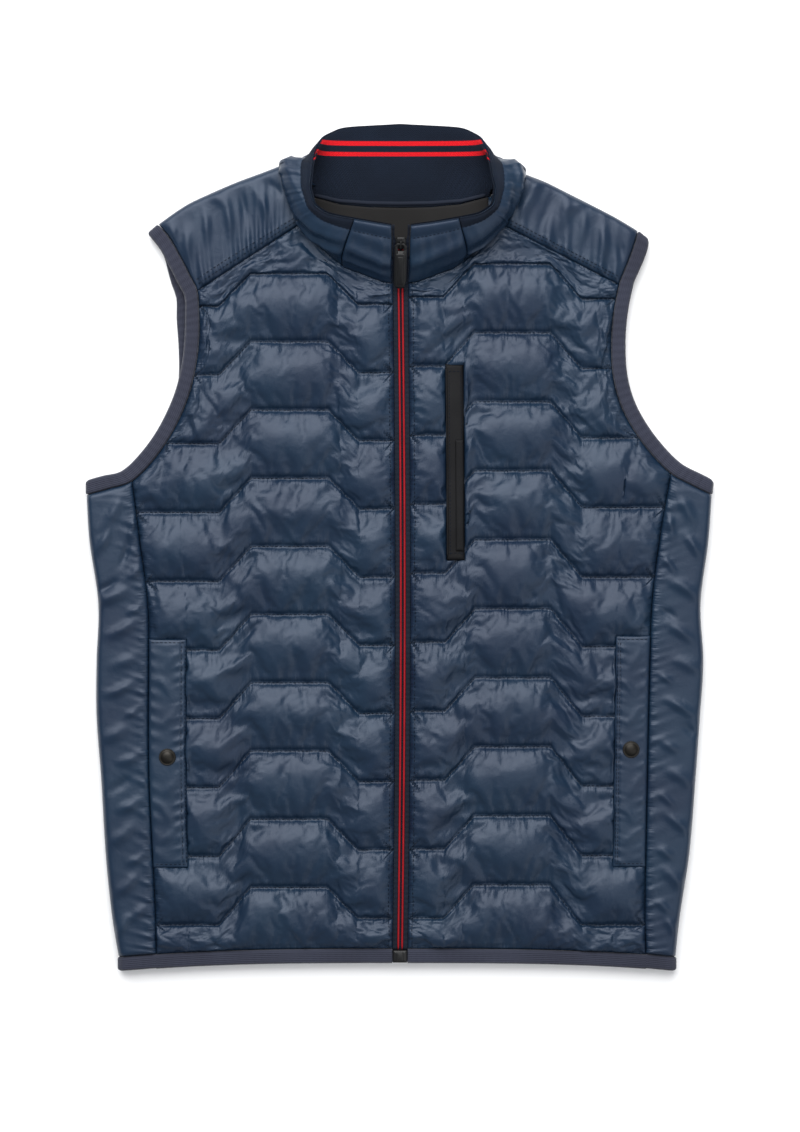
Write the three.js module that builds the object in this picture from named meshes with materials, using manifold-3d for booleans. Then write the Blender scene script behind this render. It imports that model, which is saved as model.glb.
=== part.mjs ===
// A sleeveless padded vest (gilet) with a stand collar and a full-length front zip.
// It lies flat on its back. Each panel is a padded wall, and the wearer's right is at -X.
// Millimetres. +X to the wearer's left, +Y towards the collar, +Z up from the surface it lies on.
import * as THREE from "three";
import { mergeVertices } from "three/addons/utils/BufferGeometryUtils.js";
import loadManifold from "manifold-3d";

// Driving sizes
const SEAM_GAP = 0.3; // between two pieces that are sewn edge to edge
const WALL = 4.7; // a padded wall at its stitching
const FOLD_RADIUS = 6; // of the round edge where a panel turns from front to back
const SEAM_TOP = 2 * FOLD_RADIUS; // height of the front's outer face at its seams
const FRONT_INSIDE = SEAM_TOP - WALL; // height of the front's plain inner face
const QUILT_PUFF = 8.5; // crest of a quilt channel over its stitching
const PANEL_PUFF = 3; // crest of an unquilted panel over its seams
const BINDING_WIDTH = 12.3;
const BINDING_WALL = 4.1;
const BINDING_ROWS = [
  { share: 0, swell: 0 }, // of the way from its seam to its free edge
  { share: 0.5, swell: 0.5 },
  { share: 1, swell: -0.4 },
];
const SEARCH_STEPS = 260; // along the armhole's seam
const HALVINGS = 30; // to find where a row meets an edge
// Rough lengths of the seams that each panel's end rows stand back from
const PANEL_SPAN = { side: 400, yoke: 110, back: 600 };
const SIDE_FOLDS = { height: 1.8, count: 4.5, slant: 0.7 };
const YOKE_FOLDS = { height: 1.2, count: 3.5 };

// Quilting: stitched lines with a raised flat middle, one above another from hem to yoke
const FIRST_LINE_Y = -319;
const LINE_COUNT = 10;
const RAMP = { start: 37, crest: 63, end: 129, foot: 156 }; // distances from the zip's middle
const HEM_SEAM_Y = -345;
const HEM_DROP = { depth: 7.3, at: 240 }; // the hem sinks towards the sides
const CHANNEL_PHASES = [0, 0.16, 0.5, 0.84]; // where each channel has a row of points
const LINE_SINK = { least: 1.5, each: 0.5 }; // the lines sink towards the side, more each line down
const QUILT_SHAPE = { roundness: 0.6, endChannels: 0.75, zipEdge: 0.25, seamEdge: 0.1 };
const CORNER_ROW = 7.5; // the quilt row that ends where side seam and armhole meet
const SEAM_SLIVER = 0.008; // share of a channel or patch that a seam takes

// Zip
const ZIP = { halfGap: 6.6, bow: 2.4, top: 262, bottom: -357, rows: 22 };
const TAPE = { from: 9.2, to: 10.2, partedEdge: 3 };
const CHAIN = { half: 2.3, from: 8.6, to: 11.2 };

// Front neck seam: distance from the middle, and height
const NECK_FRONT = [
  { out: 0, y: 226.5 },
  { out: 15, y: 228.5 },
  { out: 31, y: 234.5 },
  { out: 48, y: 241 },
  { out: 62.5, y: 252.5 },
  { out: 74.5, y: 264.5 },
  { out: 84.7, y: 279.5 },
];
// Back neck seam
const NECK_BACK = [
  { out: 0, y: 293 },
  { out: 26, y: 293.6 },
  { out: 52, y: 296 },
  { out: 78, y: 303 },
];
const NECK_CORNER = NECK_FRONT[NECK_FRONT.length - 1];
const NAPE_CORNER = NECK_BACK[NECK_BACK.length - 1];

// Inner top edge of the collar from the zip round to the nape, a row for each share of half the
// collar. bow and lift move the middle of the collar's height away from its neck, and up.
const COLLAR_TOP = [
  { ring: 0, right: 7, left: 9, y: 276, z: 36, bow: 1, lift: 1 },
  { ring: 0.1, right: 22, left: 28, y: 278.5, z: 37, bow: 2, lift: 2 },
  { ring: 0.24, right: 48, left: 54, y: 283, z: 39, bow: 3, lift: 3 },
  { ring: 0.34, right: 62, left: 68, y: 286, z: 40, bow: 4, lift: 3 },
  { ring: 0.44, right: 71, left: 77, y: 293, z: 41, bow: 6, lift: 2 },
  { ring: 0.56, right: 74.5, left: 79, y: 307, z: 39, bow: 9, lift: 0 },
  { ring: 0.68, right: 73, left: 75.5, y: 325, z: 34, bow: 13, lift: -3 },
  { ring: 0.78, right: 69.5, left: 72, y: 342, z: 24, bow: 13, lift: -4 },
  { ring: 0.86, right: 64, left: 67, y: 355, z: 12, bow: 7, lift: -2 },
  { ring: 0.92, right: 50, left: 54, y: 362.5, z: 6.5, bow: 2, lift: 0 },
  { ring: 1, right: 0, left: 0, y: 365.5, z: 4.7, bow: 0, lift: 0 },
];
// Shares of half the collar at which its neck edge passes these places
const RING = { zip: 0, neckCorner: 0.4, shoulder: 0.66, napeCorner: 0.76, nape: 1 };
const COLLAR = { shell: 2.8, knit: 1.6, footBlend: 0.3, middleY: 312, yokeGap: 4.4 * SEAM_GAP };
// The collar's outer face from its neck edge to its top: a padded height, a stitched groove, a band
const COLLAR_HEIGHTS = [
  { height: 0, puff: 0 },
  { height: 0.14, puff: 1.4 },
  { height: 0.42, puff: 2.4 },
  { height: 0.68, puff: 1.6 },
  { height: 0.8, puff: 0 },
  { height: 0.9, puff: 1 },
  { height: 1, puff: 0 },
];
const NECK_LINING = { thick: 1, lift: 0.3, low: 250, high: 292.6, halfWidth: 76 };

// The two sides differ a little, as the vest was laid by hand.
// Armhole, from the shoulder fold down to the side fold: the binding's seam and its free edge.
// Side, from the armhole down to the hem: the folded outline and the side seam.
const SIDES = [
  {
    name: "right",
    sign: -1,
    pitch: 58.7,
    rise: 26.3,
    frontColumn: 48.5,
    backBulge: 8,
    armhole: [
      { seam: 208, seamY: 278.5, free: 217.2, freeY: 270.5 },
      { seam: 198, seamY: 266, free: 208.5, freeY: 256 },
      { seam: 189, seamY: 250.5, free: 200.5, freeY: 243 },
      { seam: 181.5, seamY: 235.5, free: 193.5, freeY: 227.5 },
      { seam: 174.3, seamY: 220.8, free: 187.2, freeY: 213.5 },
      { seam: 172.6, seamY: 199, free: 185, freeY: 196.5 },
      { seam: 173, seamY: 176, free: 185.4, freeY: 176.5 },
      { seam: 176.5, seamY: 150, free: 188.8, freeY: 153.5 },
      { seam: 184, seamY: 124, free: 196, freeY: 130.5 },
      { seam: 196.5, seamY: 97.5, free: 208, freeY: 103 },
      { seam: 212.5, seamY: 74.5, free: 221.5, freeY: 81.5 },
      { seam: 230.5, seamY: 57, free: 239, freeY: 66.5 },
      { seam: 250, seamY: 50.5, free: 254.5, freeY: 60.5 },
      { seam: 270, seamY: 45, free: 270.3, freeY: 57 },
    ],
    side: [
      { fold: 270, foldY: 45, seam: 230.5, seamY: 57 },
      { fold: 267.5, foldY: 5, seam: 223.8, seamY: 5 },
      { fold: 260, foldY: -48, seam: 217, seamY: -48 },
      { fold: 261.5, foldY: -98, seam: 216, seamY: -98 },
      { fold: 261.5, foldY: -145, seam: 216.3, seamY: -145 },
      { fold: 257.5, foldY: -200, seam: 215.7, seamY: -200 },
      { fold: 253.7, foldY: -263, seam: 212.8, seamY: -263 },
      { fold: 248.5, foldY: -315, seam: 210.4, seamY: -315 },
      { fold: 242.5, foldY: -352, seam: 209.6, seamY: -349.5 },
    ],
    shoulder: [
      { out: 98, y: 331 },
      { out: 118.7, y: 323 },
      { out: 140.2, y: 315 },
      { out: 163.4, y: 305 },
      { out: 184.9, y: 294.5 },
      { out: 208, y: 278.5 },
    ],
  },
  {
    name: "left",
    sign: 1,
    pitch: 59.4,
    rise: 28.5,
    frontColumn: 54,
    backBulge: -1.5,
    armhole: [
      { seam: 204.8, seamY: 272.8, free: 214.7, freeY: 264.8 },
      { seam: 201, seamY: 259.5, free: 211.5, freeY: 255.5 },
      { seam: 196.5, seamY: 247, free: 207.2, freeY: 245 },
      { seam: 192, seamY: 236, free: 203.2, freeY: 235 },
      { seam: 188.3, seamY: 226, free: 199.5, freeY: 225.5 },
      { seam: 183.8, seamY: 203, free: 195.4, freeY: 203.5 },
      { seam: 181.6, seamY: 178, free: 193.6, freeY: 178.5 },
      { seam: 182.8, seamY: 150, free: 195.2, freeY: 151.5 },
      { seam: 189, seamY: 124.5, free: 200.5, freeY: 129.5 },
      { seam: 200.5, seamY: 101.5, free: 210.5, freeY: 108 },
      { seam: 216, seamY: 80.5, free: 225, freeY: 88.5 },
      { seam: 233, seamY: 63.5, free: 241, freeY: 73 },
      { seam: 251, seamY: 53.5, free: 256.5, freeY: 62 },
      { seam: 268.5, seamY: 45, free: 269.8, freeY: 56 },
    ],
    side: [
      { fold: 268.5, foldY: 45, seam: 233, seamY: 63.5 },
      { fold: 265.7, foldY: 5, seam: 223, seamY: 5 },
      { fold: 259, foldY: -48, seam: 216.8, seamY: -48 },
      { fold: 261.4, foldY: -98, seam: 214.7, seamY: -98 },
      { fold: 258.5, foldY: -145, seam: 213.6, seamY: -145 },
      { fold: 254.6, foldY: -200, seam: 212.5, seamY: -200 },
      { fold: 249.4, foldY: -263, seam: 211.3, seamY: -263 },
      { fold: 241.5, foldY: -315, seam: 210.8, seamY: -315 },
      { fold: 237.4, foldY: -352, seam: 211.5, seamY: -349.5 },
    ],
    shoulder: [
      { out: 104.1, y: 323 },
      { out: 124.7, y: 315.2 },
      { out: 145.3, y: 305 },
      { out: 166, y: 294.6 },
      { out: 185.8, y: 284.2 },
      { out: 204.8, y: 272.8 },
    ],
  },
];
const YOKE_END = 4; // row of the armhole table where the yoke seam ends
const SIDE_END = 11; // row where the side seam ends
const BULGE_SPAN = { from: 1.5, to: 7.5 }; // rows over which the back armhole shows past the front

// Pockets
const HAND_POCKET = { lowRow: 1.84, highRow: 5.16, thick: 3.5, rim: 1.4 };
const CHEST_POCKET = { inset: 0.75, top: 157.5, bottom: -11, thick: 1.6, crown: 0.8, margin: 25 };
const CHEST_PULL = { inset: 0.8, width: 7, top: 92.5, bottom: -3, thick: 1.2, crown: 0 };
const SNAP = { radius: 7.2, height: 3, sides: 20, y: { right: -180, left: -173.5 } };
// The snap's section, as shares of its radius and height
const SNAP_SECTION = [
  [0, 0],
  [1, 0],
  [1, 0.3],
  [0.82, 0.48],
  [0.5, 0.9],
  [0, 1],
];

// Zip slider and its pull, which leans down the collar
const SLIDER = { height: 0.72, width: 9, length: 11, nose: 6.4, shoulder: 2, thick: 2.4, lift: 0.3 };
const BAIL = { width: 2.4, length: 8, height: 5.1, thick: 1.3, sunk: 0.5 };
const PULL = { width: 10.5, length: 41, thick: 1.6, slot: 5, slotWidth: 4.6, bar: 1.8, corner: 2.2 };
const ZIP_BOX = { width: 12, length: 10.5, from: 8.6, to: 13.4 };

const V2 = (x, y) => new THREE.Vector2(x, y);
const V3 = (x, y, z) => new THREE.Vector3(x, y, z);
const lerp = THREE.MathUtils.lerp;
const clamp = THREE.MathUtils.clamp;

// Evenly spaced values, one more than count
function steps(count, from = 0, to = 1) {
  return Array.from({ length: count + 1 }, (_, i) => lerp(from, to, i / count));
}

// A smooth curve through two columns of a table, with x mirrored to the given side
function through(rows, x, y, sign = 1) {
  return new THREE.SplineCurve(rows.map((row) => V2(sign * row[x], row[y])));
}

// A value between the rows of a table, by another column
function look(rows, key, value, column) {
  const next = rows.findIndex((row) => row[key] >= value);
  if (next < 1) return rows[next < 0 ? rows.length - 1 : 0][column];
  const [a, b] = [rows[next - 1], rows[next]];
  return lerp(a[column], b[column], (value - a[key]) / (b[key] - a[key]));
}

// A point of the patch between four edges: near and far run along a, start and end along b
function patch(near, far, start, end, a, b) {
  const across = near(a).multiplyScalar(1 - b).add(far(a).multiplyScalar(b));
  const along = start(b).multiplyScalar(1 - a).add(end(b).multiplyScalar(a));
  const low = near(0).multiplyScalar(1 - a).add(near(1).multiplyScalar(a));
  const high = far(0).multiplyScalar(1 - a).add(far(1).multiplyScalar(a));
  return across.add(along).sub(low.multiplyScalar(1 - b)).sub(high.multiplyScalar(b));
}

// A closed wall between two grids of points with the same rows and columns.
// With ring, the last row joins the first.
function wall(outer, inner, ring = false) {
  const rows = outer.length;
  const columns = outer[0].length;
  const points = [...outer.flat(), ...inner.flat()];
  const index = [];
  const at = (layer, row, column) => layer * rows * columns + (row % rows) * columns + column;
  const quad = (a, b, c, d) => index.push(a, b, c, a, c, d);
  const lastRow = ring ? rows : rows - 1;
  for (let r = 0; r < lastRow; r++) {
    for (let c = 0; c < columns - 1; c++) {
      quad(at(0, r, c), at(0, r, c + 1), at(0, r + 1, c + 1), at(0, r + 1, c));
      quad(at(1, r, c), at(1, r + 1, c), at(1, r + 1, c + 1), at(1, r, c + 1));
    }
    quad(at(0, r, 0), at(0, r + 1, 0), at(1, r + 1, 0), at(1, r, 0));
    const end = columns - 1;
    quad(at(0, r, end), at(1, r, end), at(1, r + 1, end), at(0, r + 1, end));
  }
  if (!ring) {
    for (let c = 0; c < columns - 1; c++) {
      quad(at(0, 0, c), at(1, 0, c), at(1, 0, c + 1), at(0, 0, c + 1));
      quad(at(0, rows - 1, c), at(0, rows - 1, c + 1), at(1, rows - 1, c + 1), at(1, rows - 1, c));
    }
  }
  return solid(points, index);
}

// Six times the volume that the triangles close, negative if they face inwards
function signedVolume(points, index) {
  let sum = 0;
  for (let i = 0; i < index.length; i += 3) {
    const [a, b, c] = [points[index[i]], points[index[i + 1]], points[index[i + 2]]];
    sum += a.dot(b.clone().cross(c));
  }
  return sum;
}

function solid(points, index) {
  if (signedVolume(points, index) < 0) index.reverse();
  return new THREE.BufferGeometry()
    .setAttribute("position", new THREE.Float32BufferAttribute(points.flatMap((p) => p.toArray()), 3))
    .setIndex(index);
}

// A box or other shape with its uv and normal left out, so that it joins with the walls' geometry
function bare(geometry) {
  geometry.deleteAttribute("uv");
  geometry.deleteAttribute("normal");
  return geometry;
}

const hemSeamY = (x) => HEM_SEAM_Y - HEM_DROP.depth * Math.abs(x / HEM_DROP.at) ** 3;
const zipMiddle = (y) => {
  const share = clamp((y - ZIP.bottom) / (ZIP.top - ZIP.bottom), 0, 1);
  return ZIP.bow * Math.sin(Math.PI * share);
};

// 0 beside the raised middle of a quilt line, 1 on it
function raised(out) {
  const up = clamp((out - RAMP.start) / (RAMP.crest - RAMP.start), 0, 1);
  const down = clamp((out - RAMP.end) / (RAMP.foot - RAMP.end), 0, 1);
  return up - down;
}

// Height of a quilt row. Row 0 is the hem, rows 1 to 10 the stitched lines, row 11 the top edge.
function quiltY(side, row, x) {
  const out = Math.abs(x);
  const line = (n) => {
    const slope = clamp((out - RAMP.end) / (RAMP.foot - RAMP.end), 0, 1);
    const sink = (LINE_SINK.least + LINE_SINK.each * (LINE_COUNT - n)) * slope;
    return FIRST_LINE_Y + (n - 1) * side.pitch + side.rise * raised(out) - sink;
  };
  if (row < 1) return lerp(hemSeamY(x), line(1), row);
  if (row > LINE_COUNT) return lerp(line(LINE_COUNT), frontTopY(side, out), row - LINE_COUNT);
  return line(row);
}

// The front's top edge: the neck seam, then the yoke seam
function frontTopY(side, out) {
  if (out < NECK_CORNER.out) return look(NECK_FRONT, "out", out, "y");
  const end = side.armhole[YOKE_END];
  return lerp(NECK_CORNER.y, end.seamY, (out - NECK_CORNER.out) / (end.seam - NECK_CORNER.out));
}

function backTopY(side, out) {
  if (out < NAPE_CORNER.out) return look(NECK_BACK, "out", out, "y");
  const end = backSeam(side, YOKE_END);
  return lerp(NAPE_CORNER.y, end.y, (out - NAPE_CORNER.out) / (Math.abs(end.x) - NAPE_CORNER.out));
}

// The armhole's seam at a row of its table, on the front and on the back
function frontSeam(side, row) {
  return through(side.armhole, "seam", "seamY", side.sign).getPoint(row / (side.armhole.length - 1));
}

function backSeam(side, row) {
  const share = clamp((row - BULGE_SPAN.from) / (BULGE_SPAN.to - BULGE_SPAN.from), 0, 1);
  return frontSeam(side, row).add(V2(side.sign * side.backBulge * Math.sin(Math.PI * share), 0));
}

// From a point of the armhole's seam to the binding's free edge
function acrossBinding(side, point) {
  const seam = through(side.armhole, "seam", "seamY", side.sign);
  const free = through(side.armhole, "free", "freeY", side.sign);
  let nearest = { away: Infinity };
  for (const share of steps(SEARCH_STEPS)) {
    const away = Math.abs(seam.getPoint(share).y - point.y);
    if (away < nearest.away) nearest = { away, share };
  }
  return free.getPoint(nearest.share).sub(seam.getPoint(nearest.share)).setLength(BINDING_WIDTH);
}

// Where a row that runs across a panel meets the panel's outer edge
function outerEnd(side, row, corner, rowY, seamOf) {
  const sideCurve = through(side.side, "seam", "seamY", side.sign);
  if (row === corner) return sideCurve.getPoint(0);
  const edge =
    row < corner
      ? (share) => sideCurve.getPoint(1 - share)
      : (share) => seamOf(side, lerp(SIDE_END, YOKE_END, share));
  let [low, high] = [0, 1];
  for (let i = 0; i < HALVINGS; i++) {
    const middle = (low + high) / 2;
    const point = edge(middle);
    if (point.y < rowY(row, point.x)) low = middle;
    else high = middle;
  }
  return edge((low + high) / 2);
}

// Distances from the middle of a front's columns of points. Past the last one they share what is left.
function frontColumns(side) {
  const { start, crest, end, foot } = RAMP;
  return [ZIP.halfGap, 16, start, side.frontColumn, crest, NECK_CORNER.out, 107, end, foot];
}
const STRIP_COLUMN = 2; // the chest pocket lies between this column and the next
const OUTER_SHARES = [0.48, 0.58, 0.88, 1]; // the hand pocket lies on these
const QUILT_ROWS = Array.from({ length: LINE_COUNT + 1 }, (_, n) => CHANNEL_PHASES.map((phase) => n + phase))
  .flat()
  .concat(LINE_COUNT + 1);

// One front as plan points: a row for each quilt row, a column for each distance from the zip
function frontPlan(side) {
  return QUILT_ROWS.map((row) => {
    const inset = clamp(row, SEAM_SLIVER, LINE_COUNT + 1 - SEAM_SLIVER);
    const end = outerEnd(side, row, CORNER_ROW, (r, x) => quiltY(side, r, x), frontSeam);
    const endX = end.x - (side.sign * SEAM_GAP) / 2;
    const bow = zipMiddle(quiltY(side, row, 0));
    const inner = frontColumns(side).map((out) => side.sign * out + bow);
    const from = inner[inner.length - 1];
    const columns = [...inner, ...OUTER_SHARES.map((share) => lerp(from, endX, share))];
    return columns.map((x, i) => {
      const last = i === columns.length - 1;
      const y = quiltY(side, inset, x - bow * (1 - Math.abs(x) / Math.abs(endX)));
      return V2(x, last && row === CORNER_ROW ? end.y : y);
    });
  });
}

// Rise of a front's outer face over its stitching
function quiltRise(side, row, column, point, columnCount) {
  const phase = row - Math.floor(row);
  const channel = row >= LINE_COUNT || row < 1 ? QUILT_SHAPE.endChannels : 1;
  const crest = QUILT_PUFF * channel * Math.sin(Math.PI * phase) ** QUILT_SHAPE.roundness;
  const onHandPocket = row >= HAND_POCKET.lowRow && row <= HAND_POCKET.highRow;
  const edgeColumn = columnCount - OUTER_SHARES.length;
  if (onHandPocket && column >= edgeColumn) return 0;
  const reach = CHEST_POCKET.margin;
  const beside = point.y > CHEST_POCKET.bottom - reach && point.y < CHEST_POCKET.top + reach;
  const underStrip = side.sign > 0 && beside && (column === STRIP_COLUMN || column === STRIP_COLUMN + 1);
  if (underStrip) return 0;
  if (column === 0) return QUILT_SHAPE.zipEdge * crest;
  if (column === columnCount - 1) return QUILT_SHAPE.seamEdge * crest;
  return crest;
}

const plan3 = (point, z) => V3(point.x, point.y, z);

function frontPanel(side) {
  const plan = frontPlan(side);
  const count = plan[0].length;
  const outer = plan.map((points, r) =>
    points.map((p, c) => plan3(p, SEAM_TOP + quiltRise(side, QUILT_ROWS[r], c, p, count))),
  );
  const inner = plan.map((points) => points.map((p) => plan3(p, FRONT_INSIDE)));
  return { outer, inner, plan };
}

// Rows of the back, as shares of its height. One ends where side seam and armhole meet.
const BACK_CORNER = 0.766;
const BACK_ROWS = [...steps(20, 0, BACK_CORNER), ...steps(6, BACK_CORNER, 1).slice(1)];
const BACK_COLUMNS = [26, 52, NAPE_CORNER.out, 107, 135, 156];

function backPanel() {
  const sliver = SEAM_GAP / 2 / PANEL_SPAN.back;
  const half = (side) => (row) => {
    const rowY = (r, x) => lerp(hemSeamY(x), backTopY(side, Math.abs(x)), clamp(r, sliver, 1 - sliver));
    const end = outerEnd(side, row, BACK_CORNER, rowY, backSeam);
    const endX = end.x - (side.sign * SEAM_GAP) / 2;
    const from = side.sign * BACK_COLUMNS[BACK_COLUMNS.length - 1];
    const columns = [...BACK_COLUMNS.map((out) => side.sign * out), lerp(from, endX, 0.5), endX];
    return columns.map((x, i) => {
      const corner = row === BACK_CORNER && i === columns.length - 1;
      return V2(x, corner ? end.y : rowY(row, x));
    });
  };
  const [right, left] = SIDES.map(half);
  const middle = (row) => V2(0, lerp(hemSeamY(0), NECK_BACK[0].y, clamp(row, sliver, 1 - sliver)));
  const plan = BACK_ROWS.map((row) => [...right(row).reverse(), middle(row), ...left(row)]);
  return {
    outer: plan.map((points) => points.map((p) => plan3(p, 0))),
    inner: plan.map((points) => points.map((p) => plan3(p, WALL))),
  };
}

// The section of a panel that turns over a fold: distance in from the fold and height,
// from its front seam over the fold to its back seam
const FOLD_STEPS = 5;
const FRONT_STEPS = 4;
const BACK_STEPS = 2;
function foldSection(frontDepth, backDepth, swell) {
  const section = [];
  for (let i = 0; i < FRONT_STEPS; i++) {
    const depth = lerp(frontDepth, FOLD_RADIUS, i / FRONT_STEPS);
    const puff = swell * Math.sin((Math.PI * i) / FRONT_STEPS);
    section.push({ back: false, outer: [depth, SEAM_TOP + puff], inner: [depth, FRONT_INSIDE] });
  }
  for (let i = 0; i <= FOLD_STEPS; i++) {
    const angle = lerp(Math.PI / 2, -Math.PI / 2, i / FOLD_STEPS);
    const ring = (radius) => [FOLD_RADIUS - radius * Math.cos(angle), FOLD_RADIUS + radius * Math.sin(angle)];
    section.push({ back: angle < 0, outer: ring(FOLD_RADIUS), inner: ring(FOLD_RADIUS - WALL) });
  }
  for (let i = 1; i <= BACK_STEPS; i++) {
    const depth = lerp(FOLD_RADIUS, backDepth, i / BACK_STEPS);
    section.push({ back: true, outer: [depth, 0], inner: [depth, WALL] });
  }
  return section;
}

// A panel that turns over a fold. front and back give plan points by place along the fold
// and share of the way in from it.
function foldedPanel(front, back, places, ripple) {
  const rows = places.map((place) => {
    const depthOf = (plan) => plan(place, 0).distanceTo(plan(place, 1)) - SEAM_GAP / 2;
    const [frontDepth, backDepth] = [depthOf(front), depthOf(back)];
    const held = Math.sqrt(Math.sin(Math.PI * clamp(place, 0, 1))); // flat at the sewn ends
    return foldSection(frontDepth, backDepth, PANEL_PUFF * held).map((cut) => {
      const plan = cut.back ? back : front;
      const whole = plan(place, 0).distanceTo(plan(place, 1));
      const lift = cut.back || cut.outer[1] < SEAM_TOP ? 0 : held * ripple(place, cut.outer[0] / whole);
      const point = ([depth, z], up) => plan3(plan(place, depth / whole), z + up);
      return { outer: point(cut.outer, lift), inner: point(cut.inner, 0) };
    });
  });
  return {
    outer: rows.map((row) => row.map((cut) => cut.outer)),
    inner: rows.map((row) => row.map((cut) => cut.inner)),
  };
}

function sidePanel(side) {
  const fold = through(side.side, "fold", "foldY", side.sign);
  const seam = through(side.side, "seam", "seamY", side.sign);
  const last = side.armhole.length - 1;
  const plan = (place, depth) =>
    patch(
      (a) => fold.getPoint(a),
      (a) => seam.getPoint(a),
      (b) => frontSeam(side, lerp(last, SIDE_END, b)),
      (b) => {
        const x = lerp(fold.getPoint(1).x, seam.getPoint(1).x, b);
        return V2(x, lerp(fold.getPoint(1).y, seam.getPoint(1).y, b));
      },
      place,
      depth,
    );
  const sliver = SEAM_GAP / 2 / PANEL_SPAN.side;
  // Slanting folds where the loose side sags between its seams
  const ripple = (place, depth) => {
    const held = Math.sin(Math.PI * depth) * Math.sin(Math.PI * place);
    const turns = SIDE_FOLDS.count * place + SIDE_FOLDS.slant * depth;
    return SIDE_FOLDS.height * held * Math.sin(2 * Math.PI * turns);
  };
  return foldedPanel(plan, plan, steps(26, sliver, 1 - sliver), ripple);
}

function yokePanel(side) {
  const fold = through(side.shoulder, "out", "y", side.sign);
  const line = (from, to) => (share) => from.clone().lerp(to, share);
  const corner = V2(side.sign * NECK_CORNER.out, NECK_CORNER.y);
  const nape = V2(side.sign * NAPE_CORNER.out, NAPE_CORNER.y);
  const shoulder = fold.getPoint(0);
  const planOf = (neckEnd, seamOf) => (place, depth) =>
    patch(
      (a) => fold.getPoint(a),
      line(neckEnd, seamOf(side, YOKE_END)),
      line(shoulder, neckEnd),
      (b) => seamOf(side, lerp(0, YOKE_END, b)),
      place,
      depth,
    );
  const sliver = SEAM_GAP / 2 / PANEL_SPAN.yoke;
  // Gathers that fan out from the neck end of the yoke
  const ripple = (place, depth) =>
    YOKE_FOLDS.height * Math.sin(Math.PI * depth) * Math.sin(2 * Math.PI * YOKE_FOLDS.count * place);
  const places = steps(10, sliver, 1 - sliver);
  return foldedPanel(planOf(corner, frontSeam), planOf(nape, backSeam), places, ripple);
}

const panelsOf = (side) => ({ side, front: frontPanel(side), flank: sidePanel(side), yoke: yokePanel(side) });
const panels = Object.fromEntries(SIDES.map((side) => [side.name, panelsOf(side)]));
const back = backPanel();

// An edge of a panel as pairs of outer and inner points
const edgeRow = (panel, row) => panel.outer[row].map((outer, i) => ({ outer, inner: panel.inner[row][i] }));
const edgeColumn = (panel, column) => {
  const at = column < 0 ? panel.outer[0].length + column : column;
  return panel.outer.map((row, i) => ({ outer: row[at], inner: panel.inner[i][at] }));
};

// A binding sewn along an edge, as wide as away says. It swells a little between its two edges.
function binding(edge, away, ring) {
  const rows = edge.map((pair) => {
    const across = away(V2(pair.outer.x, pair.outer.y));
    const gap = across.clone().setLength(SEAM_GAP);
    const inward = pair.inner.clone().sub(pair.outer).setLength(BINDING_WALL);
    return BINDING_ROWS.map(({ share, swell }) => {
      const shift = gap.clone().add(across.clone().multiplyScalar(share));
      const outer = pair.outer.clone().add(V3(shift.x, shift.y, 0));
      const rises = pair.outer.z === 0 ? 0 : swell;
      const inner = outer.clone().add(inward);
      return { outer: outer.addScaledVector(inward, -rises / BINDING_WALL), inner };
    });
  });
  return wall(
    rows.map((row) => row.map((p) => p.outer)),
    rows.map((row) => row.map((p) => p.inner)),
    ring,
  );
}

// Lowers a seam's outer points to the stitching, so that a binding lies level along it
const level = (edge) =>
  edge.map((pair) => {
    const outer = pair.outer.clone();
    if (outer.z > SEAM_TOP) outer.z = SEAM_TOP;
    return { outer, inner: pair.inner };
  });

function armholeEdge({ side, front, flank, yoke }) {
  const cornerAt = QUILT_ROWS.indexOf(CORNER_ROW);
  const frontArc = edgeColumn(front, -1).slice(cornerAt);
  const shoulderTurn = edgeRow(yoke, yoke.outer.length - 1);
  const backArc = edgeColumn(back, side.sign > 0 ? -1 : 0).slice(BACK_ROWS.indexOf(BACK_CORNER));
  const sideTurn = edgeRow(flank, 0);
  return level([...frontArc, ...shoulderTurn, ...backArc.reverse(), ...sideTurn.reverse()]);
}

function hemEdge() {
  const { right, left } = panels;
  const turn = (flank) => edgeRow(flank, flank.outer.length - 1);
  return level([
    ...edgeRow(right.front, 0),
    ...turn(right.flank),
    ...edgeRow(back, 0),
    ...turn(left.flank).reverse(),
    ...edgeRow(left.front, 0).reverse(),
  ]);
}

// The collar: rows run round the neck from the right of the zip to its left, columns up its height

// A unit step from the line between two plan points towards the middle of the neck
function towardsNeck(from, to) {
  const step = V2(from.y - to.y, to.x - from.x).normalize();
  const inwards = V2(0, COLLAR.middleY).sub(from);
  return step.dot(inwards) < 0 ? step.negate() : step;
}

const flat = (point) => V2(point.x, point.y);

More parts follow.
